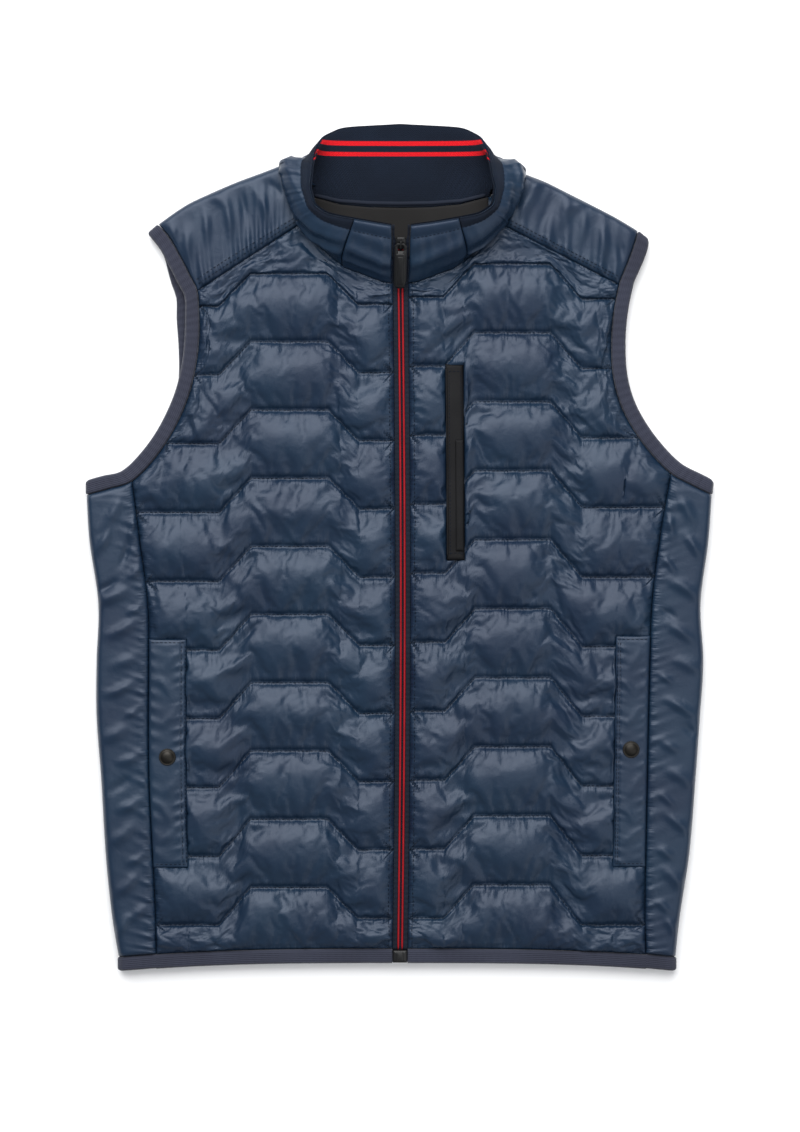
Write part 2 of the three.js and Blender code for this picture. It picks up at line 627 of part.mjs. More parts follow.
// Half of the neck's edge from the zip to the nape, each pair with the step away from its panel
function neckEdge({ side, front, yoke }) {
  const cornerAt = frontColumns(side).indexOf(NECK_CORNER.out) + 1;
  const frontPart = edgeRow(front, front.outer.length - 1).slice(0, cornerAt);
  const turn = edgeRow(yoke, 0);
  const foldAt = turn.findIndex((pair) => pair.outer.z < FOLD_RADIUS);
  const middle = BACK_COLUMNS.length + 2;
  const napeAt = BACK_COLUMNS.indexOf(NAPE_CORNER.out) + 1;
  const nape = edgeRow(back, back.outer.length - 1);
  const right = side.sign < 0;
  const rightPart = nape.slice(middle - napeAt, middle + 1);
  const backPart = right ? rightPart : nape.slice(middle, middle + napeAt + 1).reverse();
  const along = (part, from, to) => {
    const away = towardsNeck(flat(part[from].outer), flat(part[to - 1].outer)).setLength(COLLAR.yokeGap);
    return part.slice(from, to).map((pair) => ({ ...pair, away }));
  };
  const each = (part) =>
    part.map((pair, i) => {
      const [a, b] = [part[Math.max(i - 1, 0)], part[Math.min(i + 1, part.length - 1)]];
      return { ...pair, away: towardsNeck(flat(a.outer), flat(b.outer)).setLength(SEAM_GAP) };
    });
  const overFold = [...along(turn, 0, foldAt), ...along(turn, foldAt, turn.length)];
  const pairs = [...each(frontPart), ...overFold, ...each(backPart)];
  const places = [
    { at: 0, ring: RING.zip },
    { at: frontPart.length - 1, ring: RING.neckCorner },
    { at: frontPart.length + foldAt, ring: RING.shoulder },
    { at: frontPart.length + turn.length, ring: RING.napeCorner },
    { at: pairs.length - 1, ring: RING.nape },
  ];
  const length = [0];
  for (let i = 1; i < pairs.length; i++) {
    length.push(length[i - 1] + pairs[i].outer.distanceTo(pairs[i - 1].outer));
  }
  const marks = places.map(({ at, ring }) => ({ length: length[at], ring }));
  const ringAt = (i) => look(marks, "length", length[i], "ring");
  return level(pairs).map((pair, i) => ({ ...pair, away: pairs[i].away, ring: ringAt(i) }));
}

// The collar's inner face above one pair of the neck's edge, for a share of its height
function collarInner(side, pair, height) {
  const at = (column) => look(COLLAR_TOP, "ring", pair.ring, column);
  const top = V3(side.sign * at(side.name), at("y"), at("z"));
  const foot = pair.inner.clone().add(V3(pair.away.x, pair.away.y, 0));
  const middle = foot.clone().add(top).multiplyScalar(0.5);
  const bow = V2(middle.x, middle.y - COLLAR.middleY).setLength(at("bow"));
  const swell = Math.sin(Math.PI * height) ** 2;
  return foot.lerp(top, height).add(V3(bow.x, bow.y, at("lift")).multiplyScalar(swell));
}

const collarHalves = Object.values(panels).map((half) =>
  neckEdge(half).map((pair) => ({
    thick: pair.outer.clone().sub(pair.inner).normalize(),
    points: COLLAR_HEIGHTS.map(({ height }) => collarInner(half.side, pair, height)),
  })),
);
const collarRows = [...collarHalves[0], ...collarHalves[1].slice(0, -1).reverse()];

// The way out through the collar's wall at a row and column: square to it, but at its neck edge
// the way the panels' walls go
function collarOut(row, column) {
  const around = (i) => collarRows[clamp(i, 0, collarRows.length - 1)].points[column];
  const up = (i) => collarRows[row].points[clamp(i, 0, COLLAR_HEIGHTS.length - 1)];
  const round = around(row + 2).clone().sub(around(row - 2));
  const square = up(column + 1).clone().sub(up(column - 1)).cross(round).normalize();
  const blend = clamp(COLLAR_HEIGHTS[column].height / COLLAR.footBlend, 0, 1);
  return collarRows[row].thick.clone().lerp(square, blend).normalize();
}

// A layer of the collar between two depths out from its inner face, for some of its rows
function collarLayer(from, to, depths, puffed) {
  const rows = [];
  for (let row = from; row <= to; row++) rows.push(row);
  const grid = (depth, swell) =>
    rows.map((row) =>
      collarRows[row].points.map((point, column) => {
        const puff = swell * COLLAR_HEIGHTS[column].puff;
        const moved = point.clone().addScaledVector(collarOut(row, column), depth + puff);
        moved.z = Math.max(moved.z, 0);
        return moved;
      }),
    );
  const [outer, inner] = [grid(depths[1], puffed ? 1 : 0), grid(depths[0], 0)];
  return { outer: trimmed(outer), inner: trimmed(inner) };
}

// The grid with its first and last rows drawn in, so that pieces sewn end to end stay apart
function trimmed(grid) {
  const drawnIn = (row, next) =>
    row.map((point, i) => {
      const step = next[i].clone().sub(point);
      return point.clone().addScaledVector(step, Math.min(SEAM_GAP / 2 / step.length(), 0.5));
    });
  const last = grid.length - 1;
  return [drawnIn(grid[0], grid[1]), ...grid.slice(1, last), drawnIn(grid[last], grid[last - 1])];
}

const COLLAR_SEAM = STRIP_COLUMN + 1; // the collar's front seams stand over this column
const collarEnd = collarRows.length - 1;
const shellDepths = [COLLAR.knit + SEAM_GAP, COLLAR.knit + SEAM_GAP + COLLAR.shell];
const collarShell = {
  right: collarLayer(0, COLLAR_SEAM, shellDepths, true),
  back: collarLayer(COLLAR_SEAM, collarEnd - COLLAR_SEAM, shellDepths, true),
  left: collarLayer(collarEnd - COLLAR_SEAM, collarEnd, shellDepths, true),
};
const collarKnit = collarLayer(0, collarEnd, [0, COLLAR.knit], false);

// The strip of lining that shows inside the neck, over the back panel
function neckLining() {
  const { thick, lift, low, high, halfWidth } = NECK_LINING;
  const columns = steps(8, -halfWidth, halfWidth);
  const top = (x) => high + backTopY(SIDES[0], Math.abs(x)) - NECK_BACK[0].y;
  const grid = (z) => [0, 0.5, 1].map((share) => columns.map((x) => V3(x, lerp(low, top(x), share), z)));
  return wall(grid(WALL + lift + thick), grid(WALL + lift));
}

// The zip

// The opening between the fronts and up the collar: a row of its two edges for each place
function zipRows() {
  const neckY = NECK_FRONT[0].y;
  const from = ZIP.bottom + ZIP_BOX.length + SEAM_GAP;
  const body = steps(ZIP.rows, from, neckY).map((y) => ({
    right: V3(zipMiddle(y) - ZIP.halfGap, y, SEAM_TOP),
    left: V3(zipMiddle(y) + ZIP.halfGap, y, SEAM_TOP),
    height: 0,
  }));
  const edge = (row, column) =>
    collarRows[row].points[column].clone().addScaledVector(collarOut(row, column), shellDepths[1]);
  const collar = COLLAR_HEIGHTS.slice(1).map(({ height }, i) => ({
    right: edge(0, i + 1),
    left: edge(collarEnd, i + 1),
    height,
  }));
  const rows = [...body, ...collar];
  return rows.map((row, i) => {
    const middle = (r) => r.right.clone().lerp(r.left, 0.5);
    const [before, after] = [rows[Math.max(i - 1, 0)], rows[Math.min(i + 1, rows.length - 1)]];
    const across = row.left.clone().sub(row.right);
    const along = middle(after).sub(middle(before)).normalize();
    const half = across.length() / 2;
    const side = across.normalize();
    return { ...row, middle: middle(row), side, along, up: side.clone().cross(along), half };
  });
}
const zip = zipRows();

// A point of the zip at a distance across and a height, which is SEAM_TOP level with the edges
function zipPoint(row, across, height) {
  return row.middle.clone().addScaledVector(row.side, across).addScaledVector(row.up, height - SEAM_TOP);
}

function tape(sign) {
  const grid = (height) =>
    zip.map((row) => {
      const parted = row.height > SLIDER.height ? TAPE.partedEdge : 0;
      const inside = CHAIN.half + SEAM_GAP + parted;
      return [inside, row.half - SEAM_GAP].map((across) => zipPoint(row, sign * across, height));
    });
  return wall(grid(TAPE.to), grid(TAPE.from));
}

function chain() {
  const closed = zip.filter((row) => row.height <= SLIDER.height);
  const across = (row, height) => [-1, 0, 1].map((side) => zipPoint(row, side * CHAIN.half, height));
  const grid = (height) => closed.map((row) => across(row, height));
  return wall(grid(CHAIN.to), grid(CHAIN.from));
}

// Where the slider stands: x across the zip, y along it, z out of it, zero at the chain's outer face
function sliderFrame() {
  const next = zip.findIndex((row) => row.height >= SLIDER.height);
  const [a, b] = [zip[next - 1], zip[next]];
  const share = (SLIDER.height - a.height) / (b.height - a.height);
  const place = zipPoint(a, 0, CHAIN.to).lerp(zipPoint(b, 0, CHAIN.to), share);
  const along = b.middle.clone().sub(a.middle).normalize();
  const up = a.side.clone().cross(along).normalize();
  return new THREE.Matrix4().makeBasis(along.clone().cross(up), along, up).setPosition(place);
}

// A closed outline of plan points pushed up by a height
function slab(points, height) {
  return bare(new THREE.ExtrudeGeometry(new THREE.Shape(points), { depth: height, bevelEnabled: false }));
}

const Manifold = await loadManifold();
Manifold.setup();
const toManifold = (geometry) => {
  const merged = mergeVertices(geometry, 1e-4);
  return new Manifold.Manifold(
    new Manifold.Mesh({
      numProp: 3,
      vertProperties: new Float32Array(merged.getAttribute("position").array),
      triVerts: new Uint32Array(merged.getIndex().array),
    }),
  );
};
const fromManifold = (body) => {
  const mesh = body.getMesh();
  return new THREE.BufferGeometry()
    .setAttribute("position", new THREE.BufferAttribute(mesh.vertProperties, 3))
    .setIndex(new THREE.BufferAttribute(mesh.triVerts, 1));
};

const BAIL_HOLE = { half: BAIL.length / 2 - BAIL.thick, height: BAIL.height - BAIL.thick };
const pivotHeight = SLIDER.lift + SLIDER.thick + (BAIL_HOLE.height - BAIL.sunk) / 2;

// The slider's plate, wider at its top, with the bail that holds the pull
function slider() {
  const [w, n, l] = [SLIDER.width / 2, SLIDER.nose / 2, SLIDER.length / 2];
  const shoulder = l - SLIDER.shoulder;
  const plate = slab(
    [V2(-n, -l), V2(n, -l), V2(w, 0), V2(w, shoulder), V2(n, l), V2(-n, l), V2(-w, shoulder), V2(-w, 0)],
    SLIDER.thick,
  );
  const { sunk, width, height } = BAIL;
  const foot = BAIL.length / 2;
  const outline = new THREE.Shape([V2(-foot, 0), V2(foot, 0), V2(foot, height), V2(-foot, height)]);
  const { half } = BAIL_HOLE;
  const top = BAIL_HOLE.height;
  outline.holes.push(new THREE.Path([V2(-half, sunk), V2(-half, top), V2(half, top), V2(half, sunk)]));
  const arch = bare(new THREE.ExtrudeGeometry(outline, { depth: width, bevelEnabled: false }));
  const upright = new THREE.Matrix4().makeBasis(V3(0, 1, 0), V3(0, 0, 1), V3(1, 0, 0));
  arch.applyMatrix4(upright.setPosition(-width / 2, 0, SLIDER.thick - sunk));
  const body = fromManifold(toManifold(plate).add(toManifold(arch)));
  return body.translate(0, 0, SLIDER.lift).applyMatrix4(sliderFrame());
}

// The pull: a bar inside the bail, a slot that the bail passes through, and a plate down the zip
function pull() {
  const [w, top] = [PULL.width / 2, PULL.bar / 2];
  const [bottom, c] = [top - PULL.length, PULL.corner];
  const shape = new THREE.Shape([
    V2(-w, bottom + c),
    V2(-w + c, bottom),
    V2(w - c, bottom),
    V2(w, bottom + c),
    V2(w, top - c),
    V2(w - c, top),
    V2(-w + c, top),
    V2(-w, top - c),
  ]);
  const s = PULL.slotWidth / 2;
  const slotTop = -PULL.bar / 2;
  const slotLow = slotTop - PULL.slot;
  shape.holes.push(new THREE.Path([V2(-s, slotLow), V2(-s, slotTop), V2(s, slotTop), V2(s, slotLow)]));
  const plate = bare(new THREE.ExtrudeGeometry(shape, { depth: PULL.thick, bevelEnabled: false }));
  return plate.translate(0, 0, pivotHeight - PULL.thick / 2).applyMatrix4(sliderFrame());
}

function zipBox() {
  const [w, l] = [ZIP_BOX.width / 2, ZIP_BOX.length];
  const box = slab([V2(-w, 0), V2(w, 0), V2(w, l), V2(-w, l)], ZIP_BOX.to - ZIP_BOX.from);
  return box.translate(zipMiddle(ZIP.bottom), ZIP.bottom, ZIP_BOX.from);
}

// Pockets

// A padded welt over the front's outermost columns, made from the front's own points moved out
function handPocket({ front }) {
  const rows = QUILT_ROWS.map((row, i) => i).filter((i) => {
    return QUILT_ROWS[i] >= HAND_POCKET.lowRow && QUILT_ROWS[i] <= HAND_POCKET.highRow;
  });
  const first = front.outer[0].length - OUTER_SHARES.length;
  const grid = (lift) =>
    rows.map((row, r) =>
      front.outer[row].slice(first).map((point, c) => {
        const rim = r === 0 || r === rows.length - 1 || c === 0 || c === OUTER_SHARES.length - 1;
        const thick = rim ? HAND_POCKET.rim : HAND_POCKET.thick;
        return point.clone().setZ(SEAM_TOP + SEAM_GAP + (lift ? thick : 0));
      }),
    );
  return wall(grid(true), grid(false));
}

function snap({ side, front }) {
  const y = SNAP.y[side.name];
  const first = front.outer[0].length - OUTER_SHARES.length;
  const row = front.outer.findIndex((points) => points[first + 1].y >= y);
  const x = (front.outer[row][first + 1].x + front.outer[row][first + 2].x) / 2;
  const profile = SNAP_SECTION.map(([out, up]) => V2(out * SNAP.radius, up * SNAP.height));
  const turned = bare(new THREE.LatheGeometry(profile, SNAP.sides)).rotateX(Math.PI / 2);
  return turned.translate(x, y, SEAM_TOP + 2 * SEAM_GAP + HAND_POCKET.thick);
}

// A strip of the chest pocket in the flat stretch between two columns of the left front. Its right
// edge stands in by its inset, and without a width it reaches as far in from the other column.
function chestStrip({ inset, width, top, bottom, thick, crown }, base) {
  const { front } = panels.left;
  const columnX = (column, y) => {
    const line = front.outer.map((points) => ({ y: points[column].y, x: points[column].x }));
    return look(line, "y", y, "x");
  };
  const ys = steps(10, bottom, top);
  const grid = (lift) =>
    ys.map((y) => {
      const [a, b] = [columnX(STRIP_COLUMN, y), columnX(STRIP_COLUMN + 1, y)];
      const right = b - inset;
      const from = width ? right - width : a + inset;
      return [from, (from + right) / 2, right].map((x, i) => {
        const height = thick + (i === 1 ? crown : 0);
        return V3(x, y, base + (lift ? height : 0));
      });
    });
  return wall(grid(true), grid(false));
}

const chestBase = SEAM_TOP + SEAM_GAP;
const chestTop = chestBase + CHEST_POCKET.thick + CHEST_POCKET.crown + SEAM_GAP;

// Finishes
const FINISH = {
  shell: { color: 0x2f3d50, roughness: 0.55, metalness: 0 },
  binding: { color: 0x46495a, roughness: 0.8, metalness: 0 },
  knit: { color: 0x20293a, roughness: 0.95, metalness: 0 },
  lining: { color: 0x2f2e2e, roughness: 0.9, metalness: 0 },
  tape: { color: 0x23252b, roughness: 0.85, metalness: 0 },
  coil: { color: 0x8a2630, roughness: 0.5, metalness: 0 },
  strip: { color: 0x2e2e30, roughness: 0.6, metalness: 0 },
  rubber: { color: 0x252629, roughness: 0.5, metalness: 0 },
  gunmetal: { color: 0x44443f, roughness: 0.35, metalness: 0.9 },
};

const gilet = new THREE.Group();
function add(name, geometry, finish) {
  const piece = new THREE.Mesh(geometry, new THREE.MeshStandardMaterial(FINISH[finish]));
  piece.name = name;
  gilet.add(piece);
}

add("back_panel", wall(back.outer, back.inner), "shell");
for (const part of Object.values(panels)) {
  const { name } = part.side;
  const armholeBinding = binding(armholeEdge(part), (point) => acrossBinding(part.side, point), true);
  add(`front_panel_${name}`, wall(part.front.outer, part.front.inner), "shell");
  add(`side_panel_${name}`, wall(part.flank.outer, part.flank.inner), "shell");
  add(`yoke_${name}`, wall(part.yoke.outer, part.yoke.inner), "shell");
  add(`armhole_binding_${name}`, armholeBinding, "binding");
  add(`collar_front_${name}`, wall(collarShell[name].outer, collarShell[name].inner), "shell");
  add(`zip_tape_${name}`, tape(part.side.sign), "tape");
  add(`hand_pocket_${name}`, handPocket(part), "shell");
  add(`snap_${name}`, snap(part), "gunmetal");
}
add("hem_binding", binding(hemEdge(), () => V2(0, -BINDING_WIDTH), false), "binding");
add("collar_back", wall(collarShell.back.outer, collarShell.back.inner), "shell");
add("collar_knit", wall(collarKnit.outer, collarKnit.inner), "knit");
add("neck_lining", neckLining(), "lining");
add("zip_chain", chain(), "coil");
add("zip_box", zipBox(), "rubber");
add("zip_slider", slider(), "rubber");
add("zip_pull", pull(), "rubber");
add("chest_pocket", chestStrip(CHEST_POCKET, chestBase), "strip");
add("chest_pull", chestStrip(CHEST_PULL, chestTop), "strip");

export default gilet;
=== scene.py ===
"""A padded, quilted zip vest with a stand collar, laid flat: each visible surface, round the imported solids.

Shapes are worked out in millimetres as whole numpy arrays and become meshes in metres. +X is the
wearer's left, +Y runs towards the collar, and +Z comes up out of the surface that the vest lies on.
"""

import logging
from dataclasses import dataclass
from enum import Enum
from typing import Callable, Sequence

import bpy
import numpy as np
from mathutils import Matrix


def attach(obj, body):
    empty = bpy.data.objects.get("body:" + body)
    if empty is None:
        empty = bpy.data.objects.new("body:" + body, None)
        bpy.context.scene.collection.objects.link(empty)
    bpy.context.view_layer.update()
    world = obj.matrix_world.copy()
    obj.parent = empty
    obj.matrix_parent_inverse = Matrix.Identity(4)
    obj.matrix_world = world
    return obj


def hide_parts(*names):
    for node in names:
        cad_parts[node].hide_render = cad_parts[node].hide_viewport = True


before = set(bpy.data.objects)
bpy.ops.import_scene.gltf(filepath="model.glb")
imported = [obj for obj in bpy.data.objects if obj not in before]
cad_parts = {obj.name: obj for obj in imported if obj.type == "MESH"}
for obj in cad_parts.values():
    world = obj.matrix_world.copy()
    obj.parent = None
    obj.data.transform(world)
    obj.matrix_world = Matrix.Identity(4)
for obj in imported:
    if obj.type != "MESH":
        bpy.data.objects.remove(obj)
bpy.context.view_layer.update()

Array = np.ndarray
log = logging.getLogger("quilted_vest")

# Heights and gaps shared by all pieces, in millimetres
MM = 0.001
SEAM_GAP = 0.3
WALL = 4.7
FOLD_RADIUS = 6.0
SEAM_TOP = 2 * FOLD_RADIUS
FRONT_INSIDE = SEAM_TOP - WALL
CREASE_SCALE = 2.1  # of the crease tables' heights, for loose padded cloth
SEAM_SINK = 1.0  # a padded edge dips this far below SEAM_TOP at its seam
BINDING_WIDTH = 12.3
BINDING_WALL = 4.1
SEWING = "sewing"  # name of the UV layer that holds the distance from stitching
BODY = "vest"
PULL_BODY = "zip_pull"

# Quilting, as distances from the zip's middle
FIRST_LINE_Y = -319.0
LINE_COUNT = 10
RAMP_START, RAMP_CREST, RAMP_END, RAMP_FOOT = 37.0, 63.0, 129.0, 156.0
HEM_SEAM_Y, HEM_DROP, HEM_DROP_AT = -345.0, 7.3, 240.0
CORNER_ROW = 7.5
ZIP_HALF_GAP, ZIP_BOW, ZIP_TOP, ZIP_BOTTOM = 6.6, 2.4, 262.0, -357.0

# Neck seam on the front and on the back: distance from the middle, height
NECK_FRONT = np.array([(0, 226.5), (15, 228.5), (31, 234.5), (48, 241), (62.5, 252.5), (74.5, 264.5), (84.7, 279.5)])
NECK_BACK = np.array([(0, 293), (26, 293.6), (52, 296), (78, 303)], float)
NECK_MIDDLE_Y = 312.0

# The collar's inner top edge. Columns: share of half the collar, right x, left x, y, z, bow, lift.
COLLAR_TOP = np.array(
    [
        (0.00, 7.0, 9.0, 276.0, 36.0, 1, 1),
        (0.10, 22.0, 28.0, 278.5, 37.0, 2, 2),
        (0.24, 48.0, 54.0, 283.0, 39.0, 3, 3),
        (0.34, 62.0, 68.0, 286.0, 40.0, 4, 3),
        (0.44, 71.0, 77.0, 293.0, 41.0, 6, 2),
        (0.56, 74.5, 79.0, 307.0, 39.0, 9, 0),
        (0.68, 73.0, 75.5, 325.0, 34.0, 13, -3),
        (0.78, 69.5, 72.0, 342.0, 24.0, 13, -4),
        (0.86, 64.0, 67.0, 355.0, 12.0, 7, -2),
        (0.92, 50.0, 54.0, 362.5, 6.5, 2, 0),
        (1.00, 0.0, 0.0, 365.5, 4.7, 0, 0),
    ]
)
RING_CORNER, RING_SHOULDER, RING_NAPE_CORNER = 0.40, 0.66, 0.76
COLLAR_SHELL, COLLAR_KNIT = 2.8, 1.6
YOKE_CLEAR = 1.32
YOKE_END, SIDE_END, LAST_ROW = 4, 11, 13


def ramp(value: Array, start: float, end: float) -> Array:
    """A share that rises in a straight line from 0 at start to 1 at end."""
    return np.clip((value - start) / (end - start), 0.0, 1.0)


def lerp(a: Array, b: Array, share: Array) -> Array:
    """The value a given share of the way from a to b."""
    return a + (b - a) * share


def through(points: Array, share: Array) -> Array:
    """A Catmull-Rom curve through points, at each share of its point count.

    Args:
        points: Array of (count, dimensions).
        share: Places from 0 at the first point to 1 at the last.

    Returns:
        Array of share's shape with one more axis for the dimensions. Between points p1 and p2 it
        is the cubic whose slopes there are half of p2 - p0 and half of p3 - p1.
    """
    last = len(points) - 1
    place = np.clip(share, 0, 1) * last
    i = np.minimum(place.astype(int), last - 1)
    w = (place - i)[..., None]
    p0, p1, p2, p3 = points[np.maximum(i - 1, 0)], points[i], points[i + 1], points[np.minimum(i + 2, last)]
    v1, v2 = (p2 - p0) / 2, (p3 - p1) / 2
    return (2 * p1 - 2 * p2 + v1 + v2) * w**3 + (-3 * p1 + 3 * p2 - 2 * v1 - v2) * w**2 + v1 * w + p1


def coons(near: Callable, far: Callable, start: Callable, end: Callable, a: Array, b: Array) -> Array:
    """A patch between four edges: near and far run along a, start and end along b.

    The sum of the two straight blends between facing edges, less the bilinear blend of the corners.
    """
    one, a_, b_ = np.ones(1), a[..., None], b[..., None]
    across = lerp(near(a), far(a), b_)
    along = lerp(start(b), end(b), a_)
    low = lerp(near(0 * one)[0], near(one)[0], a_)
    high = lerp(far(0 * one)[0], far(one)[0], a_)
    return across + along - lerp(low, high, b_)


def hem_seam_y(x: Array) -> Array:
    """Height of the hem's seam, which sinks with the cube of the distance from the middle."""
    return HEM_SEAM_Y - HEM_DROP * np.abs(x / HEM_DROP_AT) ** 3


def zip_middle(y: Array) -> Array:
    """The zip's middle, which bows to the left by half a sine wave."""
    return ZIP_BOW * np.sin(np.pi * ramp(np.asarray(y, float), ZIP_BOTTOM, ZIP_TOP))


def pillow(away: Array, width: float) -> Array:
    """Share of full height at a distance from a seam: a quarter of an ellipse that ends at width."""
    return np.sqrt(np.clip(1 - (1 - np.clip(away / width, 0, 1)) ** 2, 0, 1))


def gathers(seed: int, place: Array, low: float = 6.0, high: float = 15.0, waves: int = 7) -> Array:
    """Uneven gathers along a seam, about -1 to 1: sine waves with random lengths between low and high.

    The crests are sharpened a little, as thin cloth over padding folds.
    """
    random = np.random.default_rng(seed)
    total = np.zeros_like(place)
    for wave in random.uniform(low, high, waves):
        total += random.uniform(0.5, 1.0) * np.sin(2 * np.pi * (place / wave + random.uniform()))
    total /= 0.75 * np.sqrt(waves)
    return np.where(total > 0, total, 0.7 * total)


@dataclass(frozen=True)
class Crease:
    """A soft ridge or trough: its middle, direction, half length, half width and height."""

    x: float
    y: float
    degrees: float
    length: float
    width: float
    height: float

    def rise(self, x: Array, y: Array) -> Array:
        """Height at each place: a bell across the crease times a cosine arch along it."""
        turn = np.radians(self.degrees)
        along = (x - self.x) * np.cos(turn) + (y - self.y) * np.sin(turn)
        bend = 0.12 * self.length * (along / self.length) ** 2
        across = -(x - self.x) * np.sin(turn) + (y - self.y) * np.cos(turn) - bend
        arch = np.cos(np.pi / 2 * np.clip(along / self.length, -1, 1)) ** 2
        return self.height * np.exp(-((across / self.width) ** 2)) * arch


def creased(x: Array, y: Array, creases: Sequence[Crease]) -> Array:
    """The sum of the creases' heights at each place."""
    total = np.zeros_like(x)
    for crease in creases:
        total += crease.rise(x, y)
    return total


@dataclass(frozen=True)
class Side:
    """One half of the cut. The two halves differ a little, as the vest was laid by hand."""

    name: str
    sign: int
    pitch: float
    rise: float
    back_bulge: float
    armhole: Array
    free: Array
    fold: Array
    seam: Array
    shoulder: Array

    def mirrored(self, points: Array) -> Array:
        """Table points with x on this side."""
        return points * np.array([self.sign, 1.0])

    def front_seam(self, row: Array) -> Array:
        """The armhole's seam on the front at rows of its table."""
        return through(self.mirrored(self.armhole), row / LAST_ROW)

    def back_seam(self, row: Array) -> Array:
        """The armhole's seam on the back, which shows past the front by half a sine wave."""
        points = self.front_seam(row)
        points[..., 0] += self.sign * self.back_bulge * np.sin(np.pi * ramp(row, 1.5, 7.5))
        return points

    def across_binding(self, points: Array) -> Array:
        """From points of the armhole's seam to the binding's free edge, found by equal height."""
        share = np.linspace(0, 1, 261)
        seam = through(self.mirrored(self.armhole), share)
        free = through(self.mirrored(self.free), share)
        order = np.argsort(seam[:, 1])
        step = (free - seam)[order]
        step *= BINDING_WIDTH / np.linalg.norm(step, axis=1)[:, None]
        y = seam[order, 1]
        return np.stack([np.interp(points[..., 1], y, step[:, i]) for i in (0, 1)], -1)

    def top_y(self, out: Array, back: bool = False) -> Array:
        """A panel's top edge: the neck seam, then the yoke seam."""
        neck = NECK_BACK if back else NECK_FRONT
        end = (self.back_seam if back else self.front_seam)(np.array([float(YOKE_END)]))[0]
        corner = neck[-1]
        yoke = corner[1] + (end[1] - corner[1]) * (out - corner[0]) / (abs(end[0]) - corner[0])
        return np.where(out < corner[0], np.interp(out, neck[:, 0], neck[:, 1]), yoke)

    def line_y(self, line: Array, x: Array) -> Array:
        """Height of the quilt lines: low, up a ramp to a level middle, and down to the side."""
        out = np.abs(x)
        down = ramp(out, RAMP_END, RAMP_FOOT)
        raised = ramp(out, RAMP_START, RAMP_CREST) - down
        sink = (1.5 + 0.5 * (LINE_COUNT - line)) * down
        return FIRST_LINE_Y + (line - 1) * self.pitch + self.rise * raised - sink

    def quilt_y(self, row: Array, x: Array) -> Array:
        """Height of a quilt row: 0 is the hem, 1 to 10 the stitched lines, 11 the top edge."""
        inside = self.line_y(np.clip(row, 1, LINE_COUNT), x)
        low = lerp(hem_seam_y(x), self.line_y(np.ones_like(x), x), np.clip(row, 0, 1))
        high = lerp(inside, self.top_y(np.abs(x)), np.clip(row - LINE_COUNT, 0, 1))
        return np.where(row < 1, low, np.where(row > LINE_COUNT, high, inside))

    def outline_x(self, row: Array) -> Array:
        """Where quilt rows meet the side seam and armhole, by looking up the row at points of both."""
        share = np.linspace(0, 1, 900)
        side = through(self.mirrored(self.seam), 1 - share)
        armhole = self.front_seam(lerp(SIDE_END, YOKE_END, share[1:]))
        edge = np.vstack([side, armhole])
        knots = np.arange(LINE_COUNT + 2.0)
        levels = self.quilt_y(knots[:, None] + 0 * edge[None, :, 0], edge[None, :, 0] + 0 * knots[:, None])
        band = np.clip((edge[None, :, 1] >= levels).sum(0) - 1, 0, LINE_COUNT)
        at = np.arange(len(edge))
        low, high = levels[band, at], levels[band + 1, at]
        rows = np.maximum.accumulate(band + np.clip((edge[:, 1] - low) / (high - low), 0, 1))
        return np.interp(row, rows, edge[:, 0])


SIDES = (
    Side(
        name="right",
        sign=-1,
        pitch=58.7,
        rise=26.3,
        back_bulge=8.0,
        armhole=np.array(
            [(208, 278.5), (198, 266), (189, 250.5), (181.5, 235.5), (174.3, 220.8), (172.6, 199), (173, 176),
             (176.5, 150), (184, 124), (196.5, 97.5), (212.5, 74.5), (230.5, 57), (250, 50.5), (270, 45)]
        ),
        free=np.array(
            [(217.2, 270.5), (208.5, 256), (200.5, 243), (193.5, 227.5), (187.2, 213.5), (185, 196.5),
             (185.4, 176.5), (188.8, 153.5), (196, 130.5), (208, 103), (221.5, 81.5), (239, 66.5), (254.5, 60.5),
             (270.3, 57)]
        ),
        fold=np.array([(270, 45), (267.5, 5), (260, -48), (261.5, -98), (261.5, -145), (257.5, -200), (253.7, -263),
                       (248.5, -315), (242.5, -352)]),
        seam=np.array([(230.5, 57), (223.8, 5), (217, -48), (216, -98), (216.3, -145), (215.7, -200),
                       (212.8, -263), (210.4, -315), (209.6, -349.5)]),
        shoulder=np.array([(98, 331), (118.7, 323), (140.2, 315), (163.4, 305), (184.9, 294.5), (208, 278.5)]),
    ),
    Side(
        name="left",
        sign=1,
        pitch=59.4,
        rise=28.5,
        back_bulge=-1.5,
        armhole=np.array(
            [(204.8, 272.8), (201, 259.5), (196.5, 247), (192, 236), (188.3, 226), (183.8, 203), (181.6, 178),
             (182.8, 150), (189, 124.5), (200.5, 101.5), (216, 80.5), (233, 63.5), (251, 53.5), (268.5, 45)]
        ),
        free=np.array(
            [(214.7, 264.8), (211.5, 255.5), (207.2, 245), (203.2, 235), (199.5, 225.5), (195.4, 203.5),
             (193.6, 178.5), (195.2, 151.5), (200.5, 129.5), (210.5, 108), (225, 88.5), (241, 73), (256.5, 62),
             (269.8, 56)]
        ),
        fold=np.array([(268.5, 45), (265.7, 5), (259, -48), (261.4, -98), (258.5, -145), (254.6, -200),
                       (249.4, -263), (241.5, -315), (237.4, -352)]),
        seam=np.array([(233, 63.5), (223, 5), (216.8, -48), (214.7, -98), (213.6, -145), (212.5, -200),
                       (211.3, -263), (210.8, -315), (211.5, -349.5)]),
        shoulder=np.array([(104.1, 323), (124.7, 315.2), (145.3, 305), (166, 294.6), (185.8, 284.2), (204.8, 272.8)]),
    ),
)


def creases(*rows: tuple[float, float, float, float, float, float]) -> list[Crease]:
    """Creases from rows of a table."""
    return [Crease(*row) for row in rows]


